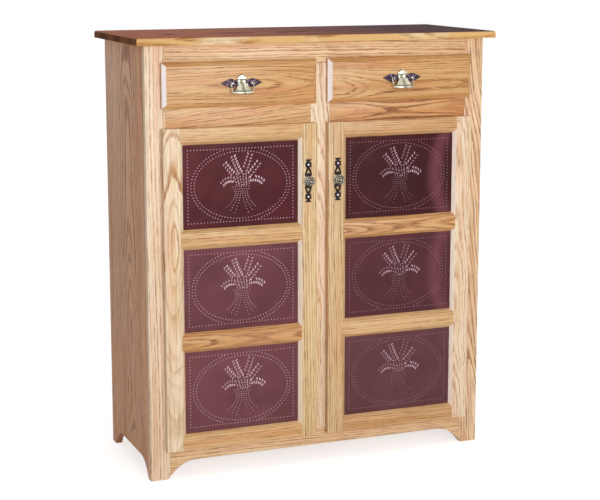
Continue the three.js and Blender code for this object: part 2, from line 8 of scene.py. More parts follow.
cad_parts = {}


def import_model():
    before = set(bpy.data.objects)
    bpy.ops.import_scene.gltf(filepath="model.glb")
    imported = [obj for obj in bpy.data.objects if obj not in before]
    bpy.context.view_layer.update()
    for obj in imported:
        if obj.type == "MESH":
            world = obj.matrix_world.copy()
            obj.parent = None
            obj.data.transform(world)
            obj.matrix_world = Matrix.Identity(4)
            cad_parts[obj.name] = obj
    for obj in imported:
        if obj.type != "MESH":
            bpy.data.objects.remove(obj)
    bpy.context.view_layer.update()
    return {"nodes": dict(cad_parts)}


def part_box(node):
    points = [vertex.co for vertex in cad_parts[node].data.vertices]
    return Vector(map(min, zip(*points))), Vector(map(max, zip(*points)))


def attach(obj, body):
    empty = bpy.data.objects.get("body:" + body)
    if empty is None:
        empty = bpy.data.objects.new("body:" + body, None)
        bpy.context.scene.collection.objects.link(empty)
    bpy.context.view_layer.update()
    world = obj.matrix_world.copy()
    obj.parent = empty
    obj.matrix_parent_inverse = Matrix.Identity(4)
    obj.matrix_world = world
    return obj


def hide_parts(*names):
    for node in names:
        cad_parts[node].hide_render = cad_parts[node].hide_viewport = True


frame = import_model()

MM = 0.001
SIDES = ("left", "right")
ROWS = ("lower", "middle", "upper")


# Camera, at the photograph's viewing angle
CAMERA_PLACE = (-1.6592, -4.1772, 1.4616)
CAMERA_YAW = 21.812
CAMERA_PITCH = 9.896
CAMERA_LENS = 93.13
CAMERA_SHIFT = -0.05


def make_camera():
    data = bpy.data.cameras.new("camera")
    data.lens = CAMERA_LENS
    data.shift_y = CAMERA_SHIFT
    camera = bpy.data.objects.new("camera", data)
    camera.location = CAMERA_PLACE
    camera.rotation_euler = (math.radians(90 - CAMERA_PITCH), 0, math.radians(-CAMERA_YAW))
    bpy.context.scene.collection.objects.link(camera)
    bpy.context.scene.camera = camera


# Materials


class Finish:
    """A material with one Principled shader, and short calls for the nodes that feed it."""

    def __init__(self, name, roughness=0.5, metallic=0.0, coat=0.0, coat_roughness=0.2, specular=0.5):
        self.material = bpy.data.materials.new(name)
        self.material.use_nodes = True
        self.tree = self.material.node_tree
        self.tree.nodes.clear()
        self.shader = self.tree.nodes.new("ShaderNodeBsdfPrincipled")
        output = self.tree.nodes.new("ShaderNodeOutputMaterial")
        self.tree.links.new(self.shader.outputs[0], output.inputs["Surface"])
        self.shader.inputs["Roughness"].default_value = roughness
        self.shader.inputs["Metallic"].default_value = metallic
        self.shader.inputs["Coat Weight"].default_value = coat
        self.shader.inputs["Coat Roughness"].default_value = coat_roughness
        self.shader.inputs["Specular IOR Level"].default_value = specular

    def put(self, socket, value):
        if isinstance(value, bpy.types.NodeSocket):
            self.tree.links.new(value, socket)
        else:
            socket.default_value = value

    def feed(self, name, value):
        self.put(self.shader.inputs[name], value)

    def calc(self, operation, *values, clamp=False):
        """The result of a Math node."""
        node = self.tree.nodes.new("ShaderNodeMath")
        node.operation = operation
        node.use_clamp = clamp
        for socket, value in zip(node.inputs, values):
            self.put(socket, value)
        return node.outputs[0]

    def gap(self, first, second):
        """How far apart two values are."""
        return self.calc("ABSOLUTE", self.calc("SUBTRACT", first, second))

    def length(self, first, second):
        """The long side of a right triangle with these short ones."""
        squares = (self.calc("POWER", side, 2.0) for side in (first, second))
        return self.calc("SQRT", self.calc("ADD", *squares))

    def place(self):
        """The point's three coordinates in the shared frame, with all joints at rest."""
        return self.split(self.tree.nodes.new("ShaderNodeTexCoord").outputs["Object"])

    def facing(self):
        """The three parts of the surface's direction in the shared frame, with all joints at rest."""
        return self.split(self.tree.nodes.new("ShaderNodeTexCoord").outputs["Normal"])

    def vector(self, x, y, z):
        node = self.tree.nodes.new("ShaderNodeCombineXYZ")
        for socket, value in zip(node.inputs, (x, y, z)):
            self.put(socket, value)
        return node.outputs[0]

    def scaled(self, parts, scales, seed=0.0):
        return self.vector(
            *(self.calc("MULTIPLY_ADD", part, scale, seed) for part, scale in zip(parts, scales))
        )

    def noise(self, vector, detail=2.0, roughness=0.5, colour=False):
        node = self.tree.nodes.new("ShaderNodeTexNoise")
        self.put(node.inputs["Vector"], vector)
        node.inputs["Scale"].default_value = 1.0
        node.inputs["Detail"].default_value = detail
        node.inputs["Roughness"].default_value = roughness
        return node.outputs["Color" if colour else "Fac"]

    def split(self, colour):
        """The three parts of a colour or a vector."""
        node = self.tree.nodes.new("ShaderNodeSeparateXYZ")
        self.put(node.inputs[0], colour)
        return list(node.outputs)

    def range(self, value, low, high, to_low=0.0, to_high=1.0, smooth=True):
        node = self.tree.nodes.new("ShaderNodeMapRange")
        node.interpolation_type = "SMOOTHSTEP" if smooth else "LINEAR"
        for socket, entry in zip(node.inputs, (value, low, high, to_low, to_high)):
            self.put(socket, entry)
        return node.outputs[0]

    def mix(self, share, first, second, blend="MIX"):
        node = self.tree.nodes.new("ShaderNodeMix")
        node.data_type = "RGBA"
        node.blend_type = blend
        self.put(node.inputs["Factor"], share)
        for socket, value in zip((node.inputs[6], node.inputs[7]), (first, second)):
            self.put(socket, (*value, 1) if isinstance(value, tuple) else value)
        return node.outputs[2]

    def bump(self, height, strength, distance):
        node = self.tree.nodes.new("ShaderNodeBump")
        node.inputs["Strength"].default_value = strength
        node.inputs["Distance"].default_value = distance
        self.put(node.inputs["Height"], height)
        self.feed("Normal", node.outputs[0])


def srgb(red, green, blue):
    """A colour seen as these 0 to 255 values, as the shader's linear ones."""
    shares = (value / 255 for value in (red, green, blue))
    return tuple(s / 12.92 if s <= 0.04045 else ((s + 0.055) / 1.055) ** 2.4 for s in shares)


# How a board was sawn, in metres: depth and sideways shift of the tree's pith, the depth's slope
# along the board, and a hump in it by its height, its place along the board and its reach. Then how
# much the rings wander and how often along and aside, the rings' spacing, the grain's tilt, the share
# of a ring that is early wood, and where along the board the figure goes from its least to full.
PLAIN = dict(
    slope=0.0, hump=(0.0, 0.0, 1.0), wander=0.03, often=1.7, aside=5.5, tilt=0.0, band=0.62,
    fade=(-9.0, -8.0, 1.0),
)
SAWN = {
    "rift": dict(pith=0.07, shift=0.13, slope=0.03, spacing=0.0068),
    "straight": dict(pith=0.05, shift=0.22, slope=0.012, wander=0.014, spacing=0.0060),
    "slanted": dict(pith=0.07, shift=0.16, slope=0.03, spacing=0.0064, tilt=-0.11),
    "flat": dict(pith=0.045, shift=0.008, slope=0.06, wander=0.055, often=1.9, spacing=0.0078),
    "steep": dict(pith=0.05, shift=0.03, slope=0.05, wander=0.05, often=2.4, spacing=0.0085, tilt=0.09),
    "flame": dict(pith=0.05, shift=0.02, slope=0.05, wander=0.04, often=3.4, aside=8.0, spacing=0.0054),
    "wide": dict(pith=0.10, shift=0.03, slope=0.05, wander=0.09, spacing=0.0095),
    "eye": dict(
        pith=0.045, shift=0.004, hump=(0.0085, 0.01, 0.16), wander=0.018, often=3.4, spacing=0.0058,
        band=0.42,
    ),
    "hook": dict(
        pith=0.05, shift=0.022, hump=(0.015, -0.2, 0.1), wander=0.012, often=2.2, spacing=0.006,
        band=0.42,
    ),
    "neck": dict(
        pith=0.034, shift=0.002, hump=(-0.018, 0.035, 0.18), wander=0.016, often=4.5, spacing=0.0095,
    ),
    "spots": dict(
        pith=0.032, shift=0.0, slope=-0.17, wander=0.026, often=7.0, aside=16.0, spacing=0.0125, band=0.5,
        fade=(-0.05, 0.1, 0.3),
    ),
}
# A board's colours: late wood, early wood, and the open pores.
TONES = {
    "cream": (srgb(248, 228, 200), srgb(228, 184, 144), srgb(168, 116, 82)),
    "spotted": (srgb(247, 227, 195), srgb(198, 140, 82), srgb(156, 98, 54)),
    "honey": (srgb(241, 208, 165), srgb(208, 154, 106), srgb(144, 90, 54)),
    "caramel": (srgb(222, 175, 116), srgb(182, 120, 62), srgb(126, 70, 32)),
    "golden": (srgb(230, 185, 124), srgb(194, 132, 70), srgb(134, 76, 34)),
    "amber": (srgb(226, 176, 120), srgb(172, 110, 62), srgb(112, 60, 30)),
    "straw": (srgb(238, 210, 164), srgb(206, 160, 108), srgb(142, 94, 54)),
    "sand": (srgb(231, 200, 155), srgb(196, 148, 98), srgb(134, 86, 48)),
    "tan": (srgb(232, 194, 142), srgb(202, 148, 94), srgb(150, 96, 54)),
    "toast": (srgb(223, 181, 131), srgb(190, 136, 84), srgb(138, 84, 44)),
    "biscuit": (srgb(234, 195, 144), srgb(198, 140, 88), srgb(136, 80, 42)),
    "streaked": (srgb(247, 216, 178), srgb(192, 136, 92), srgb(118, 72, 42)),
    "rose": (srgb(236, 186, 148), srgb(198, 142, 110), srgb(122, 76, 58)),
}
PINK = srgb(244, 196, 168)
STRAW = srgb(226, 216, 170)
ORANGE = srgb(206, 122, 72)
# Painted highlight: the pale that left-facing slopes are painted, standing in for a lamp's glint
PAINTED_HIGHLIGHT_PALE = srgb(252, 240, 234)
# The top: clear wood's pale patches, its end grain, and on its upper face a stain with painted
# reflection, from pale to deep towards the right, in its rings and in its pores
PALE_PATCH = srgb(250, 228, 190)
# Darker end grain, also painted shade on the left end, which faces away from the lamp
END_GRAIN_AND_SHADE = (srgb(132, 84, 56), srgb(98, 60, 42))
STAIN_AND_PAINTED_REFLECTION = (srgb(216, 136, 106), srgb(98, 68, 73))
DARK_FACE_RINGS = srgb(88, 42, 36)
DARK_FACE_PORES = srgb(50, 24, 24)
# In metres, how far the rings' edges are torn by the pores
TEETH = 0.0042
# How many times a metre each pattern changes along, across and through a board
TEETH_SCALES = (20, 330, 330)
DASH_SCALES = (24, 230, 230)
STREAK_SCALES = (38, 900, 900)
HUE_SCALES = (2.2, 46, 46)
CLOUD_SCALES = (4, 30, 30)
LINE_SCALES = (9, 230, 230)
PATCH_SCALES = (5, 9, 9)
SHADE_SCALES = (2.4, 14, 14)
# How unequal the years' rings are, and how strong the pink and straw hues get
UNEVEN_YEARS = 2.6
HUE_SHARE = 0.5


def oak_field(finish, axes, centre, sawn, seed):
    """A board's own coordinates, its early wood share and its pore share; grain runs along axes[0]."""
    here = finish.place()
    along, across, deep = (finish.calc("ADD", here[axis], -centre[axis]) for axis in axes)
    cut = PLAIN | SAWN[sawn]
    across = finish.calc("MULTIPLY_ADD", along, cut["tilt"], across)
    board = (along, across, deep)
    swing = (cut["often"], cut["aside"], cut["aside"])
    broad = finish.split(finish.noise(finish.scaled(board, swing, seed), 1.5, colour=True))
    wander = finish.calc("MULTIPLY_ADD", broad[0], cut["wander"], cut["shift"] - cut["wander"] / 2)
    lift = finish.calc("MULTIPLY_ADD", broad[1], cut["wander"], cut["pith"] - cut["wander"] / 2)
    sideways = finish.calc("ADD", across, wander)
    rise, place, reach = cut["hump"]
    off = finish.calc("POWER", finish.calc("SUBTRACT", along, place), 2.0)
    hump = finish.calc("EXPONENT", finish.calc("MULTIPLY", off, -1 / reach**2))
    humped = finish.calc("MULTIPLY_ADD", hump, -rise, rise)
    below = finish.calc("MULTIPLY_ADD", along, cut["slope"], lift)
    for part in (humped, deep):
        below = finish.calc("ADD", below, part)
    radius = finish.length(sideways, below)
    torn = finish.noise(finish.scaled(board, TEETH_SCALES, seed + 3.1), 2.0, 0.6)
    radius = finish.calc("MULTIPLY_ADD", torn, TEETH, radius)
    years = finish.calc("MULTIPLY", radius, 1 / cut["spacing"])
    uneven = finish.noise(finish.vector(finish.calc("MULTIPLY", years, 0.37), seed, 0.0), 1.0)
    years = finish.calc("MULTIPLY_ADD", uneven, UNEVEN_YEARS, years)
    ring = finish.calc("FRACT", years)
    early = finish.calc("MULTIPLY", finish.range(ring, 0.0, 0.08), finish.range(ring, cut["band"], 0.12))
    strength = finish.noise(finish.vector(finish.calc("MULTIPLY", years, 0.53), seed + 7, 0.0), 0.0)
    early = finish.calc("MULTIPLY", early, finish.range(strength, 0.3, 0.6, 0.25, 1.0))
    if cut["fade"] != PLAIN["fade"]:
        faint, full, least = cut["fade"]
        early = finish.calc("MULTIPLY", early, finish.range(along, faint, full, least, 1.0))
    dashes = finish.noise(finish.scaled(board, DASH_SCALES, seed + 1.7), 2.0, 0.6)
    streaks = finish.noise(finish.scaled(board, STREAK_SCALES, seed + 5.3), 1.0)
    open_wood = finish.calc("MAXIMUM", finish.range(dashes, 0.48, 0.60), finish.range(streaks, 0.54, 0.66))
    pores = finish.calc("MULTIPLY", open_wood, finish.calc("MULTIPLY_ADD", early, 0.9, 0.1))
    return board, early, pores


def oak(
    name, axes, centre, sawn, tone, seed, coat=0.2, specular=0.3, relief=0.25, painted_highlight=0.0, blush=None
):
    """Oiled oak.

    Slopes that face left are painted pale by the given share, a painted highlight. A blush is a place
    along the board and a length over which it turns orange.
    """
    finish = Finish(name, 0.46, coat=coat, coat_roughness=0.22, specular=specular)
    board, early, pores = oak_field(finish, axes, centre, sawn, seed)
    late, middle, dark = TONES[tone]
    hues = finish.split(finish.noise(finish.scaled(board, HUE_SCALES, seed + 9.0), 2.0, colour=True))
    base = finish.mix(finish.range(hues[0], 0.46, 0.72, 0.0, HUE_SHARE), late, PINK, "MULTIPLY")
    base = finish.mix(finish.range(hues[1], 0.48, 0.72, 0.0, HUE_SHARE), base, STRAW, "MULTIPLY")
    if blush:
        start, length = blush
        base = finish.mix(finish.range(board[0], start, start + length, 0.0, 0.5), base, ORANGE)
    rings = finish.mix(finish.calc("MULTIPLY", early, 0.9, clamp=True), base, middle)
    cloud = finish.noise(finish.scaled(board, CLOUD_SCALES, seed + 4.4), 2.5)
    shaded = finish.mix(finish.range(cloud, 0.47, 0.72, 0.0, 0.3), rings, middle)
    lines = finish.noise(finish.scaled(board, LINE_SCALES, seed + 2.2), 2.0, 0.6)
    lined = finish.mix(finish.range(lines, 0.50, 0.68, 0.0, 0.55), shaded, middle)
    colour = finish.mix(finish.calc("MULTIPLY", pores, 0.8, clamp=True), lined, dark)
    # Painted highlight: slopes that face left are made pale, as though they mirrored a lamp at the left
    if painted_highlight:
        leftward = finish.calc("MULTIPLY", finish.facing()[0], -1.0)
        sloping, upright = finish.range(leftward, 0.35, 0.6), finish.range(leftward, 0.8, 0.95, 1.0, 0.0)
        slanted = finish.calc("MULTIPLY", sloping, upright)
        colour = finish.mix(finish.calc("MULTIPLY", slanted, painted_highlight), colour, PAINTED_HIGHLIGHT_PALE)
    finish.feed("Base Color", colour)
    finish.feed("Roughness", finish.calc("MULTIPLY_ADD", pores, 0.22, 0.42))
    height = finish.calc("MULTIPLY_ADD", pores, -1.0, finish.calc("MULTIPLY", early, -0.35))
    finish.bump(height, relief, 0.0003)
    return finish.material


def top_with_painted_reflection(name, centre, seed):
    """Oak with a dark red stain and painted reflection on its upper face, deeper to the right, clear long
    edges and end grain darkened also as painted shade.
    """
    finish = Finish(name, roughness=0.5, specular=0.004)
    board, early, pores = oak_field(finish, FLAT, centre, "wide", seed)
    late, middle, dark = TONES["golden"]
    clear = finish.mix(finish.calc("MULTIPLY", early, 0.8), late, middle)
    patch = finish.noise(finish.scaled(board, PATCH_SCALES, seed + 1.0), 1.0)
    clear = finish.mix(finish.range(patch, 0.5, 0.66, 0.0, 0.75), clear, PALE_PATCH)
    clear = finish.mix(finish.calc("MULTIPLY", pores, 0.6), clear, dark)
    shade = finish.noise(finish.scaled(board, SHADE_SCALES, seed + 2.0), 2.0)
    # Painted reflection: the upper face deepens towards the right, as dark surroundings mirrored at a low
    # angle
    rightward = finish.calc("MULTIPLY_ADD", board[0], 1.25, 0.2)
    drift = finish.calc("ADD", rightward, finish.calc("MULTIPLY", shade, 0.5))
    deep = finish.mix(finish.range(drift, 0.1, 0.85, smooth=False), *STAIN_AND_PAINTED_REFLECTION)
    deep = finish.mix(finish.calc("MULTIPLY", early, 0.55), deep, DARK_FACE_RINGS)
    deep = finish.mix(finish.calc("MULTIPLY", pores, 0.7), deep, DARK_FACE_PORES)
    facing = finish.facing()
    # Both ends darker as end grain, which also stands in for the shade on the left end
    end = finish.range(finish.calc("ABSOLUTE", facing[0]), 0.6, 0.9)
    clear = finish.mix(end, clear, finish.mix(finish.range(shade, 0.35, 0.65), *END_GRAIN_AND_SHADE))
    # The upper face takes the stain and its painted reflection
    upward = finish.range(facing[2], 0.55, 0.9)
    finish.feed("Base Color", finish.mix(upward, clear, deep))
    finish.feed("Roughness", finish.calc("MULTIPLY_ADD", pores, 0.15, 0.48))
    finish.bump(finish.calc("MULTIPLY", pores, -1.0), 0.3, 0.0004)
    return finish.material


def enamel(name, red, deep, seed, band=None):
    """Glossy dark red enamel over a sheet that is slightly wavy.

    A band is a painted reflection, a paler upright streak: its middle, half width, bend, and the height
    that it bends about.
    """
    finish = Finish(name, roughness=0.34, metallic=0.45, specular=0.25)
    here = finish.place()
    cloud = finish.noise(finish.scaled(here, (6, 6, 9), seed), 3.0)
    grain = finish.noise(finish.scaled(here, (900, 900, 900), seed), 1.0)
    colour = finish.mix(finish.range(cloud, 0.3, 0.7), red, deep)
    # Painted reflection: a paler upright streak, as a wavy sheet mirrors a lamp
    if band:
        middle, half, bend, height = band
        up = finish.calc("POWER", finish.calc("SUBTRACT", here[2], height), 2.0)
        across = finish.calc("MULTIPLY_ADD", up, -bend, here[0])
        share = finish.range(finish.gap(across, middle), 0.0, half, 0.75, 0.0)
        colour = finish.mix(share, colour, PAINTED_REFLECTION_ENAMEL)
    finish.feed("Base Color", finish.mix(finish.range(grain, 0.35, 0.75, 0.0, 0.3), colour, deep))
    finish.feed("Roughness", finish.range(cloud, 0.3, 0.7, 0.28, 0.4))
    wave = finish.noise(finish.scaled(here, (13, 13, 9), seed + 5), 1.0)
    finish.bump(finish.calc("MULTIPLY_ADD", grain, 0.02, wave), 0.6, 0.004)
    return finish.material


def bare_burr(name, clean, dull):
    """Tin laid bare by the punch, cleaner on some burrs than on others."""
    finish = Finish(name, roughness=0.42, metallic=0.15)
    here = finish.place()
    wear = finish.noise(finish.scaled(here, (260, 260, 260), 2.0), 2.0)
    finish.feed("Base Color", finish.mix(finish.range(wear, 0.4, 0.75), clean, dull))
    finish.feed("Roughness", finish.range(wear, 0.3, 0.7, 0.34, 0.5))
    return finish.material


def cast_metal(name, hollow, raised, metallic, roughness, scale=220, dark=None):
    """Metal in random patches of a darker and a brighter shade, as worn metal is.

    Dark is a colour and a function that gives its share from the point's coordinates.
    """
    finish = Finish(name, roughness=roughness, metallic=metallic)
    here = finish.place()
    cloud = finish.noise(finish.scaled(here, (scale, scale, scale), 1.3), 3.0)
    grain = finish.noise(finish.scaled(here, (2400, 2400, 2400), 6.0), 2.0)
    worn = finish.range(cloud, 0.42, 0.66)
    colour = finish.mix(worn, hollow, raised)
    if dark:
        tint, share = dark
        colour = finish.mix(share(finish, here), colour, tint)
    finish.feed("Base Color", colour)
    finish.feed("Roughness", finish.range(cloud, 0.3, 0.7, roughness + 0.12, roughness - 0.08))
    finish.bump(grain, 0.25, 0.0002)
    return finish.material


def dark_rings(place, radii, half):
    """The share of black left in a turned piece's grooves."""

    def share(finish, here):
        across = finish.calc("SUBTRACT", here[0], place.x)
        out = finish.length(across, finish.calc("SUBTRACT", here[2], place.z))
        rings = [finish.range(finish.gap(out, radius), 0.3 * half, half, 0.8, 0.0) for radius in radii]
        return finish.calc("MAXIMUM", *rings)

    return share


def dark_flute(place, half, groove):
    """The share of tarnish left in the hollow down a bell's middle and in the groove over its lip."""

    def share(finish, here):
        flute = finish.range(finish.gap(here[0], place.x), 0.5 * half, half, 0.85, 0.0)
        up = finish.gap(here[2], place.z + groove)
        return finish.calc("MAXIMUM", flute, finish.range(up, 0.2 * half, 0.4 * half, 0.9, 0.0))

    return share


def light_wood(name, light, dark, axes, seed):
    """Plain close-grained wood for what is hidden inside."""
    finish = Finish(name, roughness=0.6)
    here = finish.place()
    board = [here[a] for a in axes]
    lines = finish.noise(finish.scaled(board, (3, 90, 90), seed), 3.0, 0.6)
    cloud = finish.noise(finish.scaled(board, (2, 9, 9), seed + 4), 2.0)
    fine = finish.noise(finish.scaled(board, (14, 620, 620), seed + 8), 2.0, 0.6)
    colour = finish.mix(finish.range(lines, 0.35, 0.7), light, dark)
    colour = finish.mix(finish.range(fine, 0.5, 0.66, 0.0, 0.45), colour, dark)
    finish.feed("Base Color", finish.mix(finish.range(cloud, 0.3, 0.8, 0.0, 0.3), colour, dark))
    finish.feed("Roughness", finish.range(lines, 0.3, 0.7, 0.55, 0.68))
    finish.bump(lines, 0.15, 0.0003)
    return finish.material


# Mesh helpers


def add_object(name, mesh, *materials, angle=35):
    """Links a mesh as an object, smooth except where its faces meet at more than the angle."""
    for material in materials:
        mesh.materials.append(material)
    mesh.shade_smooth()
    mesh.set_sharp_from_angle(angle=math.radians(angle))
    piece = bpy.data.objects.new(name, mesh)
    bpy.context.scene.collection.objects.link(piece)
    return piece


def mesh_of(name, points, faces, slots=None):
    mesh = bpy.data.meshes.new(name)
    mesh.from_pydata([tuple(p) for p in points], [], faces)
    if slots:
        mesh.polygons.foreach_set("material_index", slots)
    mesh.validate()
    mesh.update()
    return mesh


def applied(piece):
    """Turns a piece's modifiers into its mesh."""
    graph = bpy.context.evaluated_depsgraph_get()
    mesh = bpy.data.meshes.new_from_object(piece.evaluated_get(graph))
    old = piece.data
    piece.modifiers.clear()
    piece.data = mesh
    bpy.data.meshes.remove(old)


WELD = 0.02 * MM
FLAT_ANGLE = math.radians(0.5)
BEVEL_ANGLE = math.radians(28)
SHARP_ANGLE = math.radians(40)


def eased(node, name, material, slot, body, width=0.8 * MM):
    """A CAD board with its edges broken, in place of the CAD node."""
    mesh = frame["nodes"][node].data.copy()
    mesh.materials.clear()
    work = bmesh.new()
    work.from_mesh(mesh)
    bmesh.ops.remove_doubles(work, verts=work.verts, dist=WELD)
    bmesh.ops.dissolve_limit(work, angle_limit=FLAT_ANGLE, verts=work.verts, edges=work.edges)
    work.to_mesh(mesh)
    work.free()
    piece = bpy.data.objects.new(name, mesh)
    bpy.context.scene.collection.objects.link(piece)
    bevel = piece.modifiers.new("edges", "BEVEL")
    bevel.width = width
    bevel.segments = 2
    bevel.limit_method = "ANGLE"
    bevel.angle_limit = BEVEL_ANGLE
    bevel.miter_outer = "MITER_ARC"
    applied(piece)
    piece.data.materials.append(material)
    piece.data.shade_smooth()
    piece.data.set_sharp_from_angle(angle=SHARP_ANGLE)
    mounted(piece, body, slot, node)


def mounted(piece, body, slot, *nodes):
    """Puts a piece on its body and in place of the CAD nodes named. Its slot is not used."""
    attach(piece, body)
    if nodes:
        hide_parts(*nodes)
    return piece


def box_middle(node):
    low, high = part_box(node)
    return (low + high) / 2


def face_middle(node, back=True):
    """The middle of a CAD node's back, or else of its front."""
    low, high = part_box(node)
    return Vector(((low.x + high.x) / 2, (high if back else low).y, (low.z + high.z) / 2))


def quads(rings, sides, wrapped=False):
    """Faces between each ring of points and the next, and from the last to the first if wrapped."""
    faces = []
    for ring in range(rings if wrapped else rings - 1):
        base, above = sides * ring, sides * ((ring + 1) % rings)
        for side in range(sides):
            after = (side + 1) % sides
            faces.append((base + side, base + after, above + after, above + side))
    return faces


def closed_edges(loops):
    """The edges round each loop, by point number, where the loops' points follow one another."""
    edges = []
    base = 0
    for loop in loops:
        edges += [(base + at, base + (at + 1) % len(loop)) for at in range(len(loop))]
        base += len(loop)
    return edges


def triangles_of(points, edges, wanted):
    """The wanted ones of the triangles that join the points and keep the edges, all anticlockwise."""
    found = delaunay_2d_cdt([Vector(p) for p in points], edges, [], 1, 1e-6, True)
    origins = [source[0] for source in found[3]]
    kept = []
    for triangle in found[2]:
        a, b, c = (origins[at] for at in triangle)
        if wanted(a, b, c):
            (ax, az), (bx, bz), (cx, cz) = points[a], points[b], points[c]
            turned = (bx - ax) * (cz - az) - (bz - az) * (cx - ax)
            kept.append((a, b, c) if turned > 0 else (a, c, b))
    return kept


# A rectangle's corners in turn, as shares of its half width and half height
CORNERS = ((-1, -1), (1, -1), (1, 1), (-1, 1))

# Which axes run along the grain, across it and through the board
UPRIGHT = (2, 0, 1)
LEVEL = (0, 2, 1)
SIDE = (2, 1, 0)
FLAT = (0, 1, 2)
# The oak boards: name, axes, how sawn, tone and seed. Those of the doors and drawers have a left and a
# right choice of the middle two, and the right ones' seeds are that much higher
RIGHT_SEED = 50.0
CABINET_OAK = (
    ("left_side", SIDE, "wide", "rose", 3.0),
    ("right_side", SIDE, "wide", "rose", 8.0),
    ("case_bottom", FLAT, "rift", "honey", 12.0),
    ("lower_shelf", FLAT, "rift", "honey", 15.0),
    ("upper_shelf", FLAT, "flat", "honey", 18.0),
    ("face_stile_left", UPRIGHT, "rift", "cream", 21.0),
    ("face_stile_right", UPRIGHT, "steep", "streaked", 24.0),
    ("face_bottom_rail", LEVEL, "rift", "honey", 27.0),
    ("face_top_rail", LEVEL, "rift", "honey", 30.0),
    ("face_middle_rail_left", LEVEL, "slanted", "biscuit", 33.0),
    ("face_middle_rail_right", LEVEL, "neck", "amber", 36.0),
    ("face_stile_center", UPRIGHT, "flame", "cream", 39.0),
)
DOOR_OAK = (
    ("door_hinge_stile", UPRIGHT, ("spots", "flame"), ("spotted", "cream"), 42.0),
    ("door_latch_stile", UPRIGHT, ("rift", "rift"), ("straw", "sand"), 45.0),
    ("door_bottom_rail", LEVEL, ("rift", "rift"), ("tan", "toast"), 48.0),
    ("door_lower_middle_rail", LEVEL, ("neck", "straight"), ("amber", "tan"), 51.0),
    ("door_upper_middle_rail", LEVEL, ("straight", "neck"), ("tan", "amber"), 54.0),
    ("door_top_rail", LEVEL, ("straight", "straight"), ("tan", "toast"), 57.0),
    ("drawer_front", LEVEL, ("eye", "hook"), ("caramel", "caramel"), 60.0),
)
# What sets some boards apart, by the end of their names
SPECIAL = {
    "_side": {"coat": 0.0, "specular": 0.12},
    # Drawer fronts and door stiles carry a share of painted highlight on their left-facing slopes
    "_drawer_front": {"coat": 0.26, "relief": 0.08, "painted_highlight": 0.92},
    "_stile": {"coat": 0.1, "specular": 0.22, "painted_highlight": 0.5},
    "_middle_rail_right": {"blush": (0.09, 0.14)},
}


def oak_boards():
    rows = [(node, "cabinet", *look) for node, *look in CABINET_OAK]
    for at, side in enumerate(SIDES):
        for name, axes, sawn, tone, seed in DOOR_OAK:
            body = f"{side}_{name.split('_')[0]}"
            rows.append((f"{side}_{name}", body, axes, sawn[at], tone[at], seed + RIGHT_SEED * at))
    for node, body, axes, sawn, tone, seed in rows:
        extra = next((look for ending, look in SPECIAL.items() if node.endswith(ending)), {})
        material = oak(f"oak_{node}", axes, box_middle(node), sawn, tone, seed, **extra)
        eased(node, f"{node}_board", material, "oak", body)


TOP_RADIUS = 6 * MM
TOP_EASE = 0.8 * MM
TOP_STEPS = 8


def top_board():
    """The top, its upper edges rounded over."""
    low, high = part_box("top_board")
    height = high.z - low.z
    profile = [(TOP_EASE, 0.0), (0.0, TOP_EASE)]
    for step in range(TOP_STEPS + 1):
        angle = math.pi / 2 * step / TOP_STEPS
        inset = TOP_RADIUS * (1 - math.cos(angle))
        profile.append((inset, height - TOP_RADIUS * (1 - math.sin(angle))))
    points = []
    for inset, up in profile:
        sides = (low.x + inset, high.x - inset)
        ends = (low.y + inset, high.y - inset)
        points += [(sides[x > 0], ends[y > 0], low.z + up) for x, y in CORNERS]
    last = 4 * (len(profile) - 1)
    faces = [(3, 2, 1, 0), *quads(len(profile), 4), (last, last + 1, last + 2, last + 3)]
    material = top_with_painted_reflection("top_stain_and_reflection", box_middle("top_board"), 5.0)
    piece = add_object("top_board_rounded", mesh_of("top", points, faces), material)
    mounted(piece, "cabinet", "stained_oak", "top_board")


# The woods inside, light and dark
PLY = (srgb(216, 184, 140), srgb(190, 152, 108))
BACK_PLY = (srgb(226, 188, 146), srgb(192, 146, 106))
POPLAR = (srgb(228, 204, 164), srgb(204, 172, 128))
STRIP_WOOD = (srgb(224, 188, 140), srgb(196, 150, 100))
THIN_EASE = 0.4 * MM


def inner_boards():
    ply = light_wood("ply", *PLY, FLAT, 2.0)
    ply_back = light_wood("ply_back", *BACK_PLY, SIDE, 6.0)
    poplar = light_wood("drawer_wood", *POPLAR, SIDE, 9.0)
    poplar_back = light_wood("drawer_wood_back", *POPLAR, LEVEL, 11.0)
    eased("drawer_deck", "drawer_deck_board", ply, "plywood", "cabinet")
    eased("back_panel", "back_panel_board", ply_back, "plywood", "cabinet", THIN_EASE)
    for side in SIDES:
        drawer = f"{side}_drawer"
        for part, wood, slot, *width in (
            ("left_side", poplar, "drawer_wood"),
            ("right_side", poplar, "drawer_wood"),
            ("back", poplar_back, "drawer_wood"),
            ("bottom", ply, "plywood", THIN_EASE),
        ):
            eased(f"{drawer}_{part}", f"{drawer}_{part}_board", wood, slot, drawer, *width)


# Punched tins: marks are (x, z, half length, half width, turn, material slot), in mm from the middle.
# A dot's radius and a chisel mark's half length and half width, then the border's width and height,
# its dots along each, the two ovals' half widths and half heights, and the space between their dots
DOT = 1.75
CHISEL_LENGTH = 3.9
CHISEL_WIDTH = 2.0
BORDER = (307.0, 201.5)
BORDER_DOTS = (34, 23)
OUTER_OVAL = (144.5, 104.0)
INNER_OVAL = (135.8, 93.5)
OVAL_PITCH = 8.7
MARK_GAP = 0.2
DOT_SLOT = 1
GRAIN_SLOT = 2


def dot(x, z, size=1.0):
    return (x, z, DOT * size, DOT * size, 0.0, DOT_SLOT)


def grain(x, z, size, turn, slot):
    return (x, z, CHISEL_LENGTH * size, CHISEL_WIDTH * size, turn, slot)


def line_of_dots(start, end, count):
    shares = [step / (count - 1) for step in range(count)]
    return [dot(*(a + share * (b - a) for a, b in zip(start, end))) for share in shares]


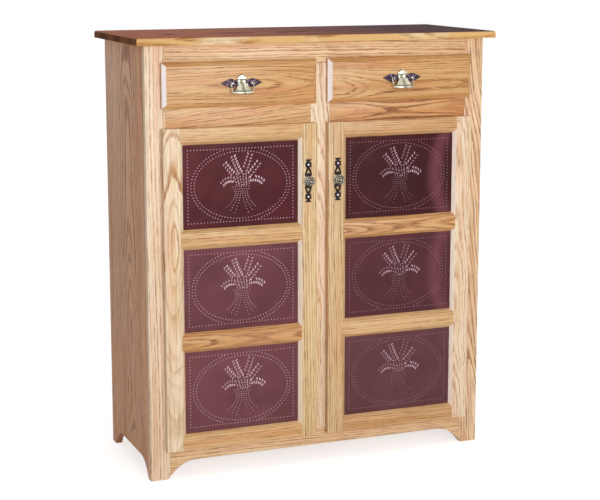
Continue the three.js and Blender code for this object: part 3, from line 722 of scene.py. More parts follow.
def border_marks():
    half_width, half_height = BORDER[0] / 2, BORDER[1] / 2
    marks = []
    for sign in (-1, 1):
        x, z = sign * half_width, sign * half_height
        marks += line_of_dots((-half_width, z), (half_width, z), BORDER_DOTS[0])
        marks += line_of_dots((x, -half_height), (x, half_height), BORDER_DOTS[1])
    return marks


def oval_marks(half_width, half_height):
    """Evenly spaced dots round an oval, left out where it would leave the border."""
    fine = 1440
    points = [
        (half_width * math.cos(2 * math.pi * at / fine), half_height * math.sin(2 * math.pi * at / fine))
        for at in range(fine + 1)
    ]
    lengths = [0.0]
    for before, after in zip(points, points[1:]):
        lengths.append(lengths[-1] + math.dist(before, after))
    count = round(lengths[-1] / OVAL_PITCH)
    marks, at = [], 0
    for step in range(count):
        target = (step + 0.5) * lengths[-1] / count
        while lengths[at] < target:
            at += 1
        x, z = points[at]
        if abs(z) < BORDER[1] / 2 - 1.5 * DOT:
            marks.append(dot(x, z))
    return marks


def curve_point(points, share):
    """A point of the quadratic curve through a start, a control point and an end."""
    left = 1 - share
    return tuple(left * left * a + 2 * left * share * b + share * share * c for a, b, c in zip(*points))


def curve_turn(points, share, reach=0.02):
    """The angle at which the curve runs there."""
    before = curve_point(points, max(0, share - reach))
    after = curve_point(points, min(1, share + reach))
    return math.atan2(after[1] - before[1], after[0] - before[0])


# The ears of wheat, in mm: the curve up each, its pairs of grains, the two rows' distance from the
# curve, how far the left and the right row's grains turn from it, their slots, and their size
EARS = (
    (((-24, 33), (-35, 45), (-46, 60)), 5, 4.6, (-1.0, -1.0), (DOT_SLOT, GRAIN_SLOT), 1.05),
    (((-2, 34), (-14, 54), (-22, 79)), 7, 5.0, (-0.9, -0.9), (DOT_SLOT, GRAIN_SLOT), 1.05),
    (((8, 32), (18, 56), (27, 83)), 7, 6.2, (0.7, -0.6), (DOT_SLOT, DOT_SLOT), 1.0),
    (((27, 29), (39, 43), (52, 59)), 5, 5.8, (0.6, -0.6), (GRAIN_SLOT, DOT_SLOT), 1.0),
    (((-22, 15), (-41, 19), (-54, 4)), 6, 5.4, (1.0, 1.3), (GRAIN_SLOT, DOT_SLOT), 0.95),
    (((28, 15), (49, 20), (64, 5)), 6, 5.2, (-0.9, -1.3), (GRAIN_SLOT, GRAIN_SLOT), 1.05),
)
# What lies between the ears' feet and the band, each a curve, its number of grains and their size
STEMS = (
    (((-19, 24), (-15, 12), (-13, 0)), 4, 0.7),
    (((-13, 31), (-9, 14), (-5, -1)), 6, 0.74),
    (((-4, 29), (-1, 14), (3, -1)), 5, 0.74),
    (((6, 29), (7, 14), (9.5, 0)), 5, 0.7),
    (((15, 29), (15, 14), (16.5, -1)), 6, 0.74),
    (((23, 24), (23, 13), (23.5, 2)), 4, 0.7),
)
# How far a stem's grains lean to one side and the other by turns, as an angle
STEM_LEAN = 0.45
# The stalks below the band: each one's place across the waist, and its foot
STALKS = (
    (-16.0, (-42.5, -60.0)), (-9.0, (-30.7, -70.3)), (-1.5, (-18.0, -77.2)),
    (4.0, (21.0, -77.2)), (11.5, (32.7, -70.6)), (19.0, (41.8, -61.1)),
)
STALK_DOTS = 8
STALK_TOP = -24
STALK_BEND = -44
STALK_SPREAD = 0.12
# The band: its rows, a row's dots, the middle, the top row's height and half width, how much lower
# and narrower each row is than the one above, how far the rows are shifted by turns, as a share of
# the space between dots, and the dots' size, which is the stalks' too
BAND_ROWS = 3
BAND_DOTS = 7
BAND_MIDDLE = 1.5
BAND_TOP = -5.5
BAND_HALF = 23.0
BAND_PITCH = 6.4
BAND_TAPER = 2.4
BAND_SHIFT = (-0.25, 0.25)
SMALL_DOT = 0.85


def ear_marks(spine, pairs, spread, leans, slots, size):
    """Two rows of grains along an ear."""
    marks = []
    for pair in range(pairs):
        share = 1 - pair / (pairs - 1)
        x, z = curve_point(spine, share)
        turn = curve_turn(spine, share)
        for side, lean, slot in zip((1, -1), leans, slots):
            place = (x - side * spread * math.sin(turn), z + side * spread * math.cos(turn))
            marks.append(grain(*place, size, turn + lean, slot))
    return marks


def stem_marks(path, count, size):
    marks = []
    for step in range(count):
        share = step / (count - 1)
        lean, slot = ((STEM_LEAN, GRAIN_SLOT), (-STEM_LEAN, DOT_SLOT))[step % 2]
        marks.append(grain(*curve_point(path, share), size, curve_turn(path, share) + lean, slot))
    return marks


def sheaf_marks():
    """A tied sheaf of wheat: four upright ears, two that droop, crossed stalks and a spread foot."""
    marks = []
    for ear in EARS:
        marks += ear_marks(*ear)
    for stem in STEMS:
        marks += stem_marks(*stem)
    for waist, foot in STALKS:
        bend = (waist + STALK_SPREAD * (foot[0] - waist), STALK_BEND)
        path = ((waist, STALK_TOP), bend, foot)
        for step in range(STALK_DOTS):
            marks.append(dot(*curve_point(path, step / (STALK_DOTS - 1)), SMALL_DOT))
    for row in range(BAND_ROWS):
        half = BAND_HALF - BAND_TAPER * row
        for step in range(BAND_DOTS):
            place = BAND_MIDDLE + half * (step - 3 + BAND_SHIFT[row % 2]) / 3
            marks.append(dot(place, BAND_TOP - BAND_PITCH * row, SMALL_DOT))
    return marks


def apart(marks):
    """Leaves out each mark that would run into one before it."""
    kept = []
    for mark in marks:
        x, z, length, width, turn, _ = mark
        reach = length - width
        spots = [
            (x + step * reach * math.cos(turn), z + step * reach * math.sin(turn), width)
            for step in (-1, 0, 1)
        ]
        clear = all(
            math.dist(a[:2], b[:2]) > a[2] + b[2] + MARK_GAP
            for other in kept
            for a in spots
            for b in other[1]
        )
        if clear:
            kept.append((mark, spots))
    return [mark for mark, _ in kept]


RING_SIDES = 8
RIM_LIFT = 0.7
# A burr inward from its edge: each ring's share of the mark's size, and its y, below 0 where it stands
# proud of the sheet. The first two carry the bare metal. Then the hole's size in the sheet's back
RINGS = ((0.74, -RIM_LIFT), (0.38, -RIM_LIFT), (0.26, -0.15))
BACK_RING = 0.72


def ring_of(mark, scale):
    x, z, length, width, turn, _ = mark
    cosine, sine = math.cos(turn), math.sin(turn)
    points = []
    for step in range(RING_SIDES):
        angle = 2 * math.pi * (step + 0.5) / RING_SIDES
        a, b = scale * length * math.cos(angle), scale * width * math.sin(angle)
        points.append((x + a * cosine - b * sine, z + a * sine + b * cosine))
    return points


def pierced_sheet(outline, rings):
    """Points and triangles of a flat sheet with a hole inside each ring, in the sheet's plane."""
    loops = [outline, *rings]
    points = [point for loop in loops for point in loop]
    owner = [number for number, loop in enumerate(loops) for _ in loop]

    def sheet(a, b, c):
        return not owner[a] == owner[b] == owner[c] > 0

    return points, triangles_of(points, closed_edges(loops), sheet)


def tin_mesh():
    """A punched sheet about its own middle, in mm, with its front at y = 0.

    Each mark is a raised burr with a hole in it.
    """
    low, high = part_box("left_door_tin_lower")
    half_width, half_height = (high.x - low.x) / 2 / MM, (high.z - low.z) / 2 / MM
    thickness = (high.y - low.y) / MM
    outline = [(x * half_width, z * half_height) for x, z in CORNERS]
    marks = apart(sheaf_marks() + border_marks() + oval_marks(*INNER_OVAL) + oval_marks(*OUTER_OVAL))
    front, front_faces = pierced_sheet(outline, [ring_of(mark, 1.0) for mark in marks])
    back, back_faces = pierced_sheet(outline, [ring_of(mark, BACK_RING) for mark in marks])
    points = [(x, 0.0, z) for x, z in front]
    behind = len(points)
    points += [(x, thickness, z) for x, z in back]
    faces = front_faces + [(behind + c, behind + b, behind + a) for a, b, c in back_faces]
    faces += [(b, a, behind + a, behind + b) for a, b in closed_edges([outline])]
    slots = [0] * len(faces)
    for number, mark in enumerate(marks):
        first = len(outline) + RING_SIDES * number
        below = first
        for level, (scale, y) in enumerate(RINGS):
            base = len(points)
            points += [(x, y, z) for x, z in ring_of(mark, scale)]
            join(faces, slots, below, base, mark[5] if level < 2 else 0)
            below = base
        join(faces, slots, below, behind + first, 0)
    return [tuple(c * MM for c in p) for p in points], faces, slots


def join(faces, slots, below, above, slot):
    """Adds the faces between two rings of a mark."""
    for side in range(RING_SIDES):
        after = (side + 1) % RING_SIDES
        faces.append((below + after, below + side, above + side, above + after))
        slots.append(slot)


# Bare metal of each door's dots and grains, clean and dull. Then the enamel of its tins from the
# lowest up, lighter and darker, and a painted reflection: the paler upright band painted on the right
# door's tins, its middle and half width in metres, and how much it bends
PAINTED_REFLECTION_ENAMEL = srgb(124, 70, 78)
PAINTED_REFLECTION_BAND = (0.356, 0.038, 2.2)
BURRS = {
    "left": ((srgb(214, 176, 186), srgb(176, 132, 142)), (srgb(250, 220, 230), srgb(210, 168, 180))),
    "right": ((srgb(166, 124, 132), srgb(136, 92, 100)), (srgb(226, 190, 202), srgb(170, 126, 138))),
}
# Painted reflection: lower tins and the left door's are painted lighter, as the floor's glare, over the
# enamel's own dark red
ENAMELS_WITH_PAINTED_GLARE = {
    "left": (
        (srgb(125, 75, 81), srgb(105, 60, 64)),
        (srgb(108, 60, 66), srgb(91, 48, 54)),
        (srgb(74, 18, 25), srgb(60, 12, 17)),
    ),
    "right": (
        (srgb(112, 68, 73), srgb(94, 56, 60)),
        (srgb(94, 48, 53), srgb(78, 39, 44)),
        (srgb(70, 24, 28), srgb(56, 18, 22)),
    ),
}


def tins():
    """The six punched tins, which it returns."""
    points, faces, slots = tin_mesh()
    pieces = []
    for side, shift in zip(SIDES, (-20, 20)):
        dots, grains = (
            bare_burr(f"{kind}_burr_{side}", *pair) for kind, pair in zip(("dot", "grain"), BURRS[side])
        )
        for at, row in enumerate(ROWS):
            node = f"{side}_door_tin_{row}"
            place = face_middle(node, back=False)
            mesh = mesh_of(node, [Vector(p) + place for p in points], faces, slots)
            # Painted reflection on the right door's upper two tins
            band = (*PAINTED_REFLECTION_BAND, place.z) if side == "right" and row != "lower" else None
            paint = enamel(f"enamel_{side}_{row}", *ENAMELS_WITH_PAINTED_GLARE[side][at], 3.0 * at + shift, band)
            piece = add_object(f"{node}_punched", mesh, paint, dots, grains, angle=30)
            pieces.append(mounted(piece, f"{side}_door", "punched_tin", node))
    return pieces


# Cast and turned metal, in mm about a place on the door or drawer, with y towards the back. The meshes'
# steps, the angle below which turned metal and wire look smooth, and how fine their wear is
FINE_STEP = 1.1
COARSE_STEP = 1.2
ROUND_ANGLE = 50
HANDLE_WEAR = 160


class Casting:
    """Points and faces in mm, gathered from several forms."""

    def __init__(self):
        self.points = []
        self.faces = []

    def add(self, points, faces):
        base = len(self.points)
        self.points += [tuple(p) for p in points]
        self.faces += [tuple(base + at for at in face) for face in faces]

    def turned(self, profile, place, sides=24):
        """A profile of (radius, distance forward) turned about a line towards the front."""
        points = []
        px, py, pz = place
        for radius, forward in profile:
            for side in range(sides):
                angle = 2 * math.pi * side / sides
                points.append((px + radius * math.cos(angle), py - forward, pz + radius * math.sin(angle)))
        last = (len(profile) - 1) * sides
        caps = [tuple(reversed(range(sides))), tuple(range(last, last + sides))]
        self.add(points, quads(len(profile), sides) + caps)

    def tube(self, path, radius, sides=12):
        """A round wire along a path, with flat ends; radius is one size or one for each point."""
        path = [Vector(p) for p in path]
        radii = radius if isinstance(radius, list) else [radius] * len(path)
        points = []
        up = Vector((0, 1, 0))
        for at, (spot, size) in enumerate(zip(path, radii)):
            ahead = (path[min(at + 1, len(path) - 1)] - path[max(at - 1, 0)]).normalized()
            across = ahead.cross(up)
            if across.length < 0.05:
                across = ahead.cross(Vector((0, 0, 1)))
            across.normalize()
            up = across.cross(ahead).normalized()
            for side in range(sides):
                angle = 2 * math.pi * side / sides
                points.append(spot + size * (math.cos(angle) * across + math.sin(angle) * up))
        last = (len(path) - 1) * sides
        faces = [(a, d, c, b) for a, b, c, d in quads(len(path), sides)]
        self.add(points, [*faces, tuple(range(sides)), tuple(reversed(range(last, last + sides)))])

    def relief(self, loops, height, step, back=0.0):
        """A cast plate in (x, z): its front stands height(x, z, distance to the edge) before its back."""
        loops = [spaced(loop, step) for loop in loops]
        points = [point for loop in loops for point in loop]
        edges = closed_edges(loops)
        rim = len(points)
        (left, low), (right, high) = (tuple(map(pick, zip(*points))) for pick in (min, max))
        for row in range(int((high - low) / step) + 2):
            for column in range(int((right - left) / step) + 2):
                spot = (left + (column + 0.5 * (row % 2)) * step, low + row * step * 0.9)
                if inside(spot, loops) and edge_distance(spot, loops) > 0.45 * step:
                    points.append(spot)

        def solid(a, b, c):
            middle = tuple((points[a][i] + points[b][i] + points[c][i]) / 3 for i in (0, 1))
            return inside(middle, loops)

        front = triangles_of(points, edges, solid)
        count = len(points)
        distances = [0.0] * rim + [edge_distance(point, loops) for point in points[rim:]]
        both = [(x, -height(x, z, distance), z) for (x, z), distance in zip(points, distances)]
        both += [(x, -back, z) for x, z in points]
        faces = front + [(count + c, count + b, count + a) for a, b, c in front]
        faces += [(a, b, count + b, count + a) for a, b in edges]
        self.add(both, faces)

    def piece(self, name, material, origin, angle=38):
        points = [origin + Vector(point) * MM for point in self.points]
        mesh = mesh_of(name, points, self.faces)
        work = bmesh.new()
        work.from_mesh(mesh)
        bmesh.ops.recalc_face_normals(work, faces=work.faces)
        work.to_mesh(mesh)
        work.free()
        return add_object(name, mesh, material, angle=angle)


def spaced(loop, step):
    """The loop with points added so that none lie further apart than the step."""
    points = []
    for a, b in zip(loop, loop[1:] + loop[:1]):
        parts = max(1, math.ceil(math.dist(a, b) / step))
        for at in range(parts):
            points.append(tuple(p + (q - p) * at / parts for p, q in zip(a, b)))
    return points


def rounded(loop):
    """The loop with its corners cut back, as a worn casting's are."""
    points = []
    for a, b in zip(loop, loop[1:] + loop[:1]):
        for share in (0.25, 0.75):
            points.append(tuple((1 - share) * p + share * q for p, q in zip(a, b)))
    return points


def inside(spot, loops):
    """Whether a spot is within the first loop and outside those that lie in it."""
    x, z = spot
    crossings = 0
    for loop in loops:
        for (ax, az), (bx, bz) in zip(loop, loop[1:] + loop[:1]):
            if (az > z) != (bz > z) and x < ax + (z - az) / (bz - az) * (bx - ax):
                crossings += 1
    return crossings % 2 == 1


def edge_distance(spot, loops):
    best = math.inf
    for loop in loops:
        for a, b in zip(loop, loop[1:] + loop[:1]):
            dx, dz = b[0] - a[0], b[1] - a[1]
            length = dx * dx + dz * dz
            share = ((spot[0] - a[0]) * dx + (spot[1] - a[1]) * dz) / length
            share = min(1.0, max(0.0, share))
            best = min(best, math.hypot(spot[0] - a[0] - share * dx, spot[1] - a[1] - share * dz))
    return best


def mirrored(half):
    """A closed outline from its right half, which starts and ends on the middle line."""
    return half + [(-x, z) for x, z in reversed(half[1:-1])]


def swell(distance, reach):
    """From 0 at an edge to 1 at the reach, round as a cast edge is."""
    share = min(1.0, distance / reach)
    return math.sqrt(1 - (1 - share) ** 2)


# Door knobs and their pierced plates

COLLAR_RADIUS = 12.5
ROSETTE_AT = 45.0
ROSETTE_RADIUS = 9.5
ROSETTE_LOBES = 6
ROSETTE_DEPTH = 0.1
ROSETTE_POINTS = 48
THIN = 0.9
THICK = 2.2


def rosette_loop():
    points = []
    for step in range(ROSETTE_POINTS):
        angle = 2 * math.pi * step / ROSETTE_POINTS
        radius = ROSETTE_RADIUS * (1 + ROSETTE_DEPTH * math.cos(ROSETTE_LOBES * angle))
        points.append((radius * math.sin(angle), ROSETTE_AT + radius * math.cos(angle)))
    return points


def rosette_height(x, z, edge):
    """Petals round a dished middle."""
    out = math.hypot(x, abs(z) - ROSETTE_AT)
    angle = math.atan2(x, abs(z) - ROSETTE_AT)
    petal = 0.35 * math.cos(ROSETTE_LOBES * angle) * min(1.0, out / 5)
    ring = 0.7 * math.exp(-(((out - 5.2) / 1.2) ** 2))
    return 1.1 + 1.3 * swell(edge, 1.6) + petal + ring


def finial_loop():
    base = ROSETTE_AT + ROSETTE_RADIUS * 0.86
    right = [(0, base + 8.0), (2.4, base + 6.8), (4.6, base + 7.0), (8.4, base + 7.6), (8.4, base + 4.6)]
    right += [(5.2, base + 2.6), (4.2, base + 0.4), (4.6, base - 2.0), (0, base - 3.0)]
    return mirrored(right)


STRUT = (
    (0, 40), (4.6, 39), (5.2, 36), (7.0, 30), (10.5, 21), (10.7, 15.0), (7.2, 13.0), (5.4, 10.5),
    (0, 10.5),
)
STRUT_HOLE = ((0, 31.5), (1.4, 28.6), (4.9, 22.6), (4.6, 21.6), (0, 21.6))
PLATE_SCREW = ((0.2, 0.8), (3.1, 0.8), (3.2, 1.9), (2.8, 2.7), (1.8, 3.3), (0.2, 3.5))
COLLAR = (
    (0.5, 0.2), (COLLAR_RADIUS, 0.2), (COLLAR_RADIUS, 1.3), (11.6, 2.2), (10.0, 2.4), (9.0, 1.7),
    (0.5, 1.7),
)


def cast_height(reach):
    """A height that goes from thin at the edge to thick at the reach."""
    return lambda x, z, edge: THIN + (THICK - THIN) * swell(edge, reach)


def knob_plate(side):
    node = f"{side}_door_knob_plate"
    origin = face_middle(node)
    plate, bright, rim = Casting(), Casting(), Casting()
    struts = [rounded(mirrored(list(half))) for half in (STRUT, STRUT_HOLE)]
    for end in (1, -1):
        for loops, height, step in (
            ([rosette_loop()], rosette_height, FINE_STEP),
            ([rounded(finial_loop())], cast_height(1.8), COARSE_STEP),
            (struts, cast_height(1.5), COARSE_STEP),
        ):
            plate.relief([[(x, end * z) for x, z in loop] for loop in loops], height, step)
        bright.turned(PLATE_SCREW, (0, 0, end * ROSETTE_AT))
    rim.turned(COLLAR, (0, 0, 0), 48)
    door = f"{side}_door"
    mounted(plate.piece(f"{node}_cast", METALS["black_iron"], origin), door, "dark_iron", node)
    mounted(bright.piece(f"{node}_screws", METALS["screw_nickel"], origin), door, "aged_nickel")
    mounted(rim.piece(f"{node}_collar", METALS["nickel"], origin), door, "aged_nickel")


KNOB_PROFILE = (
    (0.4, 0), (7.6, 0), (8.0, 0.8), (7.2, 1.8), (5.6, 2.6), (4.9, 4.4), (4.8, 7.0), (5.4, 9.0),
    (7.6, 10.6), (10.6, 11.8), (12.8, 13.2), (13.5, 14.8), (13.3, 16.2), (12.5, 17.2), (11.5, 17.4),
    (10.7, 16.6), (10.1, 16.5), (9.5, 17.6), (9.0, 19.2), (8.2, 20.3), (7.4, 20.3), (6.6, 19.2),
    (5.8, 17.9), (4.8, 17.7), (4.1, 18.8), (3.7, 21.0), (3.0, 22.8), (1.8, 23.7), (0.4, 24.0),
)
# The dark grooves' radii and half width
KNOB_GROOVES = (5.3 * MM, 10.5 * MM)
GROOVE_HALF = 1.6 * MM
KNOB_METAL = (srgb(142, 137, 122), srgb(212, 206, 190))
KNOB_TARNISH = srgb(70, 62, 48)


def door_knob(side):
    node = f"{side}_door_knob"
    origin = face_middle(node)
    knob = Casting()
    knob.turned(KNOB_PROFILE, (0, 0, 0), 56)
    dark = (KNOB_TARNISH, dark_rings(origin, KNOB_GROOVES, GROOVE_HALF))
    metal = cast_metal(f"knob_metal_{side}", *KNOB_METAL, 0.9, 0.36, HANDLE_WEAR, dark)
    piece = knob.piece(f"{node}_turned", metal, origin, angle=ROUND_ANGLE)
    mounted(piece, f"{side}_door", "aged_nickel", node)


# Drawer pulls

# Of the plate, its posts and the bail's pivot line and shape, in mm from the plate's middle
PULL_WING = 60.0
POST_AT = 28.0
PIVOT_RISE = 2.0
PIVOT_FORWARD = 7.5
PIN_RADIUS = 1.5
BAIL_REACH = 33.5
BAIL_DROP = 24.5
BAIL_FLARE = 6.0
BELL_GROOVE = -19.5
NECK_HALF = 12.6
NECK_LOW = -3.0
ROOF_LOW = 12.6
POST = (
    (0.3, 0.5), (4.6, 0.5), (4.4, 2.6), (3.2, 3.4), (2.5, 4.4), (2.5, 8.2), (3.1, 8.8), (3.0, 9.7),
    (2.2, 10.3), (0.3, 10.5),
)
FLUTE_HALF = 5.0 * MM
PULL_TARNISH = srgb(128, 130, 104)
NECK_METAL = (srgb(152, 150, 130), srgb(204, 200, 184))
BELL_METAL = (srgb(198, 192, 166), srgb(250, 244, 230))


def pull_loop():
    right = [(0, 27), (4.5, 25), (10, 20.5), (16, 15.5), (15.5, 13), (12.5, 10.5), (16.5, 9), (21, 11.5)]
    right += [(26, 13.6), (33, 14.6), (40, 13), (47, 9.4), (53.5, 6), (PULL_WING, 3.5), (54, 0)]
    right += [(47, -3.5), (39.5, -7.4), (32, -9.6), (25.5, -9.2), (20.5, -7), (17.5, -5.5), (14, -8.5)]
    return mirrored([*right, (10, -12), (5, -15.5), (0, -17)])


def pull_height(x, z, edge):
    """Leaf wings with a midrib and slanted veins, and a plainer middle."""
    out = abs(x)
    wing = min(1.0, max(0.0, (out - 15) / 4))
    middle = 2.5 + 0.02 * out
    leaf = 1.1 * swell(edge, 7.0)
    rib = 0.9 * math.exp(-(((z - middle) / 1.6) ** 2))
    vein = 0.45 * math.cos(2 * math.pi * (out - 0.8 * abs(z - middle)) / 6.4)
    return 1.0 + 0.8 * swell(edge, 1.3) + wing * (leaf + swell(edge, 3.0) * (rib + vein))


def roof_loop():
    return mirrored([(0, 26), (4.5, 24), (15.6, 16.6), (15.8, 13.8), (10, ROOF_LOW), (0, ROOF_LOW)])


def roof_height(x, z, edge):
    eaves = ROOF_LOW + 0.5 * (14.8 - abs(x))
    return 5.4 + 1.6 * swell(edge, 1.5) + 0.5 * math.sin(max(0.0, z - eaves) * 0.9) - 0.06 * abs(x)


def neck_height(x, z, edge):
    """A short fluted column under the roof."""
    return 2.4 + 2.2 * swell(edge, 4.5) - 1.4 * math.exp(-((x / 3.4) ** 2))


def fluted_metal(name, origin, metal, roughness):
    dark = (PULL_TARNISH, dark_flute(origin, FLUTE_HALF, BELL_GROOVE * MM))
    return cast_metal(name, *metal, 0.9, roughness, HANDLE_WEAR, dark)


def pull_plate(side):
    node = f"{side}_drawer_pull_plate"
    origin = pull_origin(side)
    plate, roof, neck, posts = Casting(), Casting(), Casting(), Casting()
    plate.relief([rounded(pull_loop())], pull_height, COARSE_STEP)
    roof.relief([rounded(roof_loop())], roof_height, FINE_STEP)
    column = [(-NECK_HALF, NECK_LOW), (NECK_HALF, NECK_LOW), (NECK_HALF, ROOF_LOW), (-NECK_HALF, ROOF_LOW)]
    neck.relief([column], neck_height, FINE_STEP, back=1.0)
    for end in (-1, 1):
        posts.turned(POST, (end * POST_AT, 0, PIVOT_RISE))
    drawer = f"{side}_drawer"
    flute = fluted_metal(f"pull_neck_{side}", origin, NECK_METAL, 0.38)
    mounted(plate.piece(f"{node}_cast", METALS["iron"], origin), drawer, "dark_iron", node)
    for casting, part, metal in (
        (roof, "roof", METALS["polished_nickel_and_highlight"]), (neck, "neck", flute), (posts, "posts", METALS["nickel"]),
    ):
        mounted(casting.piece(f"{drawer}_pull_{part}", metal, origin), drawer, "aged_nickel")


def pull_origin(side):
    """The middle of the plate's back, at the height of the drawer front's middle."""
    low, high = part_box(f"{side}_drawer_pull_plate")
    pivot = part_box(f"{side}_drawer_pull_bail")[1].z - PIN_RADIUS * MM
    return Vector(((low.x + high.x) / 2, high.y, pivot - PIVOT_RISE * MM))


def smooth_path(points, steps):
    """Points along a smooth curve through the given ones."""
    points = [Vector(p) for p in points]
    padded = [2 * points[0] - points[1], *points, 2 * points[-1] - points[-2]]
    path = []
    for a, b, c, d in zip(padded, padded[1:], padded[2:], padded[3:]):
        for step in range(steps):
            t = step / steps
            bent = (2 * a - 5 * b + 4 * c - d) * t**2 + (3 * b - a - 3 * c + d) * t**3
            path.append(0.5 * (2 * b + (c - a) * t + bent))
    return path + [points[-1]]


# The bell down from the pivot line: height, half width, back, and depth in front of the back
BELL = (
    (-0.4, 12.6, -2.0, 3.0), (-4.0, 14.2, -2.4, 4.0), (-9.0, 17.2, -3.2, 5.2), (-13.5, 20.4, -4.1, 6.6),
    (-17.0, 23.2, -4.9, 7.8), (-20.0, 25.8, -5.5, 8.8), (-22.5, 27.8, -6.0, 9.4),
)
BELL_WALL = 1.4


def bell(casting):
    """The flared web that hangs from the pivot line, fluted in front and hollow behind."""
    sides = 28
    front, behind = [], []
    for z, half, back, depth in BELL:
        for at in range(sides + 1):
            angle = math.pi * at / sides
            x = -half * math.cos(angle)
            round_off = max(0.0, math.sin(angle)) ** 0.7
            flute = 1 - 0.4 * math.exp(-((x / 4.2) ** 2))
            front.append((x, back - depth * round_off * flute, z))
            hollow = (depth - BELL_WALL) * round_off * flute
            behind.append((x * (1 - BELL_WALL / half), back - hollow + 0.2, z))
    across = sides + 1
    count = len(front)
    faces = []
    for level in range(len(BELL) - 1):
        for at in range(sides):
            a = level * across + at
            faces.append((a, a + 1, a + 1 + across, a + across))
            faces.append((count + a + across, count + a + 1 + across, count + a + 1, count + a))
    top = list(range(across))
    foot = [(len(BELL) - 1) * across + at for at in range(across)]
    left = [level * across for level in range(len(BELL))]
    right = [level * across + sides for level in range(len(BELL))]
    for line in (top, foot, left, right):
        for a, b in zip(line, line[1:]):
            faces.append((a, b, count + b, count + a))
    casting.add(front + behind, faces)


LIP_HALF = 30.8
LIP_DEPTH = 9.4
LIP_STEPS = 28
# The wire's left half, as shares of the bail's reach, flare and drop
WIRE = (
    (0.93, 0, 0), (0.99, 0, 0.04), (0.95, 0.14, 0.3), (0.91, 0.4, 0.6), (0.9, 0.74, 0.86),
    (0.84, 0.96, 0.98), (0.3, 1.0, 1.0),
)


def pull_bail(side):
    node = f"{side}_drawer_pull_bail"
    origin = pull_origin(side) + Vector((0, -PIVOT_FORWARD, PIVOT_RISE)) * MM
    wire, grip = Casting(), Casting()
    left = [(-x * BAIL_REACH, -flare * BAIL_FLARE, -drop * BAIL_DROP) for x, flare, drop in WIRE]
    path = smooth_path(left + [(-x, y, z) for x, y, z in reversed(left)], 6)
    wire.tube(path, PIN_RADIUS)
    for end in (-1, 1):
        wire.tube([(end * (POST_AT + 2.8), 0, 0), (end * BAIL_REACH, 0, 0)], PIN_RADIUS)
    bell(grip)
    lip, sizes = [], []
    for at in range(LIP_STEPS + 1):
        angle = math.pi * at / LIP_STEPS
        forward = -BAIL_FLARE - LIP_DEPTH * math.sin(angle)
        rise = 1.4 * abs(math.cos(angle)) ** 3
        lip.append((-LIP_HALF * math.cos(angle), forward, rise - BAIL_DROP))
        sizes.append(1.9 + 2.2 * math.sin(angle))
    grip.tube(lip, sizes)
    body = f"{side}_bail"
    bent = wire.piece(f"{node}_wire", METALS["nickel"], origin, angle=ROUND_ANGLE)
    mounted(bent, body, "aged_nickel", node)
    metal = fluted_metal(f"pull_bell_{side}", origin, BELL_METAL, 0.3)
    mounted(grip.piece(f"{node}_bell", metal, origin, angle=ROUND_ANGLE), body, "aged_nickel", node)


# Concealed hinges with their screws, and the strips behind the tins


def hinges():
    for name in frame["nodes"]:
        if name.endswith("hinge_cup") or name.endswith("hinge_arm"):
            body = "cabinet" if name.endswith("arm") else name[: name.index("_door") + 5]
            eased(name, f"{name}_pressed", METALS["hinge_steel"], "hinge_steel", body, PRESSED_EASE)
        if name.endswith("hinge_arm"):
            hinge_screws(name, -1 if name.startswith("left") else 1)


SCREW_HEAD = ((0.2, -0.4), (3.4, -0.4), (3.4, 0.3), (2.9, 0.9), (1.6, 1.3), (0.2, 1.4))
HINGE_PLATE = 2.5
HINGE_SCREW_AT = 14.5
# How far the plate's middle lies in front of the arm's back end
HINGE_PLATE_MIDDLE = 8.5
PRESSED_EASE = 0.35 * MM


def hinge_screws(arm, sign):
    """The two screws through each hinge's plate, into the edge of the face frame."""
    low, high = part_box(arm)
    depth = (high.y - low.y) / MM
    plate_side = (high.x if sign > 0 else low.x) - sign * HINGE_PLATE * MM
    screws = Casting()
    for end in (-1, 1):
        screws.turned(SCREW_HEAD, (0, 0, end * HINGE_SCREW_AT), 20)
    screws.points = [(sign * y, x, z) for x, y, z in screws.points]
    origin = Vector((plate_side, low.y + (depth - HINGE_PLATE_MIDDLE) * MM, (low.z + high.z) / 2))
    mounted(screws.piece(f"{arm}_screws", METALS["nickel"], origin), "cabinet", "hinge_steel")


STRIP_GAP = 0.2
# A strip's section: how far in from the tin's edge, and how far behind the tin
STRIP = ((0.0, 0.4), (8.2, 0.4), (8.2, 3.2), (6.6, 6.4), (3.4, 8.0), (0.0, 8.0))


def tin_strips():
    """Four mitred strips that hold each tin in its rabbet from behind."""
    for side in SIDES:
        for row in ROWS:
            tin = f"{side}_door_tin_{row}"
            low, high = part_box(tin)
            half_width, half_height = ((high[axis] - low[axis]) / 2 / MM - STRIP_GAP for axis in (0, 2))
            points = [
                (x * (half_width - inset), deep, z * (half_height - inset))
                for inset, deep in STRIP
                for x, z in CORNERS
            ]
            strips = Casting()
            strips.add(points, quads(len(STRIP), 4, wrapped=True))
            piece = strips.piece(f"{tin}_strips", METALS["strip_wood"], face_middle(tin))
            mounted(piece, f"{side}_door", "oak")


# Each metal's darker and brighter shade, how metallic and rough, and how fine its wear
CAST_METALS = {
    "iron": (srgb(44, 34, 44), srgb(122, 104, 124), 0.85, 0.36, 170),
    "black_iron": (srgb(16, 9, 8), srgb(44, 30, 26), 0.5, 0.5),
    "nickel": (srgb(146, 142, 122), srgb(224, 218, 200), 0.9, 0.3),
    # The pull's roof: partly a paler polished nickel, partly a painted highlight
    "polished_nickel_and_highlight": (srgb(226, 218, 204), srgb(254, 248, 240), 0.85, 0.3),
    "screw_nickel": (srgb(222, 212, 220), srgb(252, 246, 252), 0.7, 0.34),
    "hinge_steel": (srgb(170, 172, 176), srgb(214, 216, 220), 0.95, 0.3),
}
METALS = {}


def hardware():
    for name, look in CAST_METALS.items():
        METALS[name] = cast_metal(name, *look)
    METALS["strip_wood"] = light_wood("strip_wood", *STRIP_WOOD, UPRIGHT, 14.0)
    for side in SIDES:
        knob_plate(side)
        door_knob(side)
        pull_plate(side)
        pull_bail(side)
    hinges()
    tin_strips()


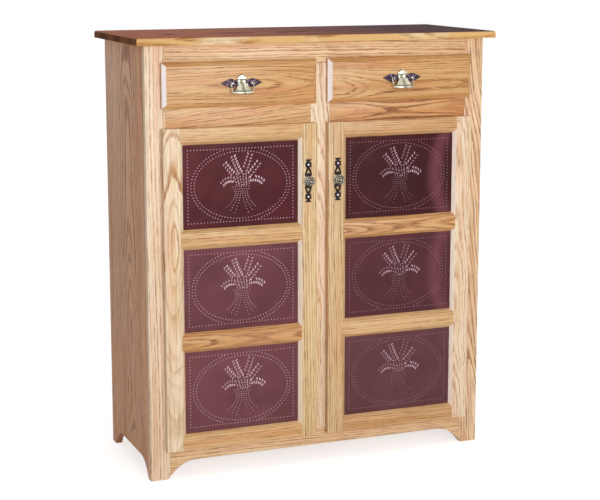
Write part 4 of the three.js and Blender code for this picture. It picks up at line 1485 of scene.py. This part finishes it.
# Floor, world and lamps

# How white the floor is to the camera alone, half its width in metres, its two near whites, the world's
# level as a light, the main lamp, and a window that only gloss mirrors
FLOOR_GLOW = 0.62
FLOOR_HALF = 14
PAPER = (srgb(250, 250, 250), srgb(247, 247, 248))
WORLD_LEVEL = 0.45
KEY_LAMP = dict(place=(0.25, -4.4, 1.3), target=(0, 0, 0.55), width=2.4, height=2.0, watts=88)
WINDOW_LAMP = dict(
    place=(-2.84, -1.2, 0.75), target=(-0.3, -0.2, 0.8), width=0.8, height=2.0, watts=48,
    colour=(0.62, 0.76, 1.0), only_gloss=True,
)


def stage():
    finish = Finish("floor_paper", roughness=0.9, specular=0.1)
    here = finish.place()
    cloud = finish.noise(finish.scaled(here, (2, 2, 2), 0.0), 2.0)
    finish.feed("Base Color", finish.mix(finish.range(cloud, 0.3, 0.7), *PAPER))
    rays = finish.tree.nodes.new("ShaderNodeLightPath")
    finish.shader.inputs["Emission Color"].default_value = (1, 1, 1, 1)
    finish.feed("Emission Strength", finish.calc("MULTIPLY", rays.outputs["Is Camera Ray"], FLOOR_GLOW))
    corners = [(x * FLOOR_HALF, y * FLOOR_HALF, 0) for x, y in CORNERS]
    mesh = mesh_of("floor", corners, [(0, 1, 2, 3)])
    floor = add_object("floor", mesh, finish.material)


def world(strength):
    scene_world = bpy.data.worlds.new("studio")
    bpy.context.scene.world = scene_world
    scene_world.use_nodes = True
    tree = scene_world.node_tree
    background = tree.nodes["Background"]
    background.inputs["Color"].default_value = (1, 1, 1, 1)
    rays = tree.nodes.new("ShaderNodeLightPath")
    white = tree.nodes.new("ShaderNodeMath")
    white.operation = "MAXIMUM"
    tree.links.new(rays.outputs["Is Camera Ray"], white.inputs[0])
    tree.links.new(rays.outputs["Is Glossy Ray"], white.inputs[1])
    level = tree.nodes.new("ShaderNodeMapRange")
    level.inputs["To Min"].default_value = strength
    level.inputs["To Max"].default_value = 1.0
    tree.links.new(white.outputs[0], level.inputs["Value"])
    tree.links.new(level.outputs[0], background.inputs["Strength"])


def lamp(name, place, target, width, height, watts, colour=(1, 1, 1), only_gloss=False):
    """A flat lamp that the camera doesn't see, and which lights either all or gloss alone."""
    data = bpy.data.lights.new(name, "AREA")
    data.shape = "RECTANGLE"
    data.size, data.size_y = width, height
    data.energy = watts
    data.color = colour
    light = bpy.data.objects.new(name, data)
    light.location = place
    light.rotation_euler = (Vector(target) - Vector(place)).to_track_quat("-Z", "Y").to_euler()
    light.visible_camera = False
    light.visible_diffuse = not only_gloss
    bpy.context.scene.collection.objects.link(light)
    return light


def leave_out(light, pieces):
    """Keeps a lamp's light off some pieces."""
    unlit = bpy.data.collections.new(f"not_lit_by_{light.name}")
    for piece in pieces:
        unlit.objects.link(piece)
    for entry in unlit.collection_objects:
        entry.light_linking.link_state = "EXCLUDE"
    light.light_linking.receiver_collection = unlit


make_camera()
oak_boards()
top_board()
inner_boards()
punched = tins()
hardware()
stage()
world(WORLD_LEVEL)
lamp("key", **KEY_LAMP)
leave_out(lamp("window", **WINDOW_LAMP), punched)

bpy.context.scene.view_settings.view_transform = "Standard"
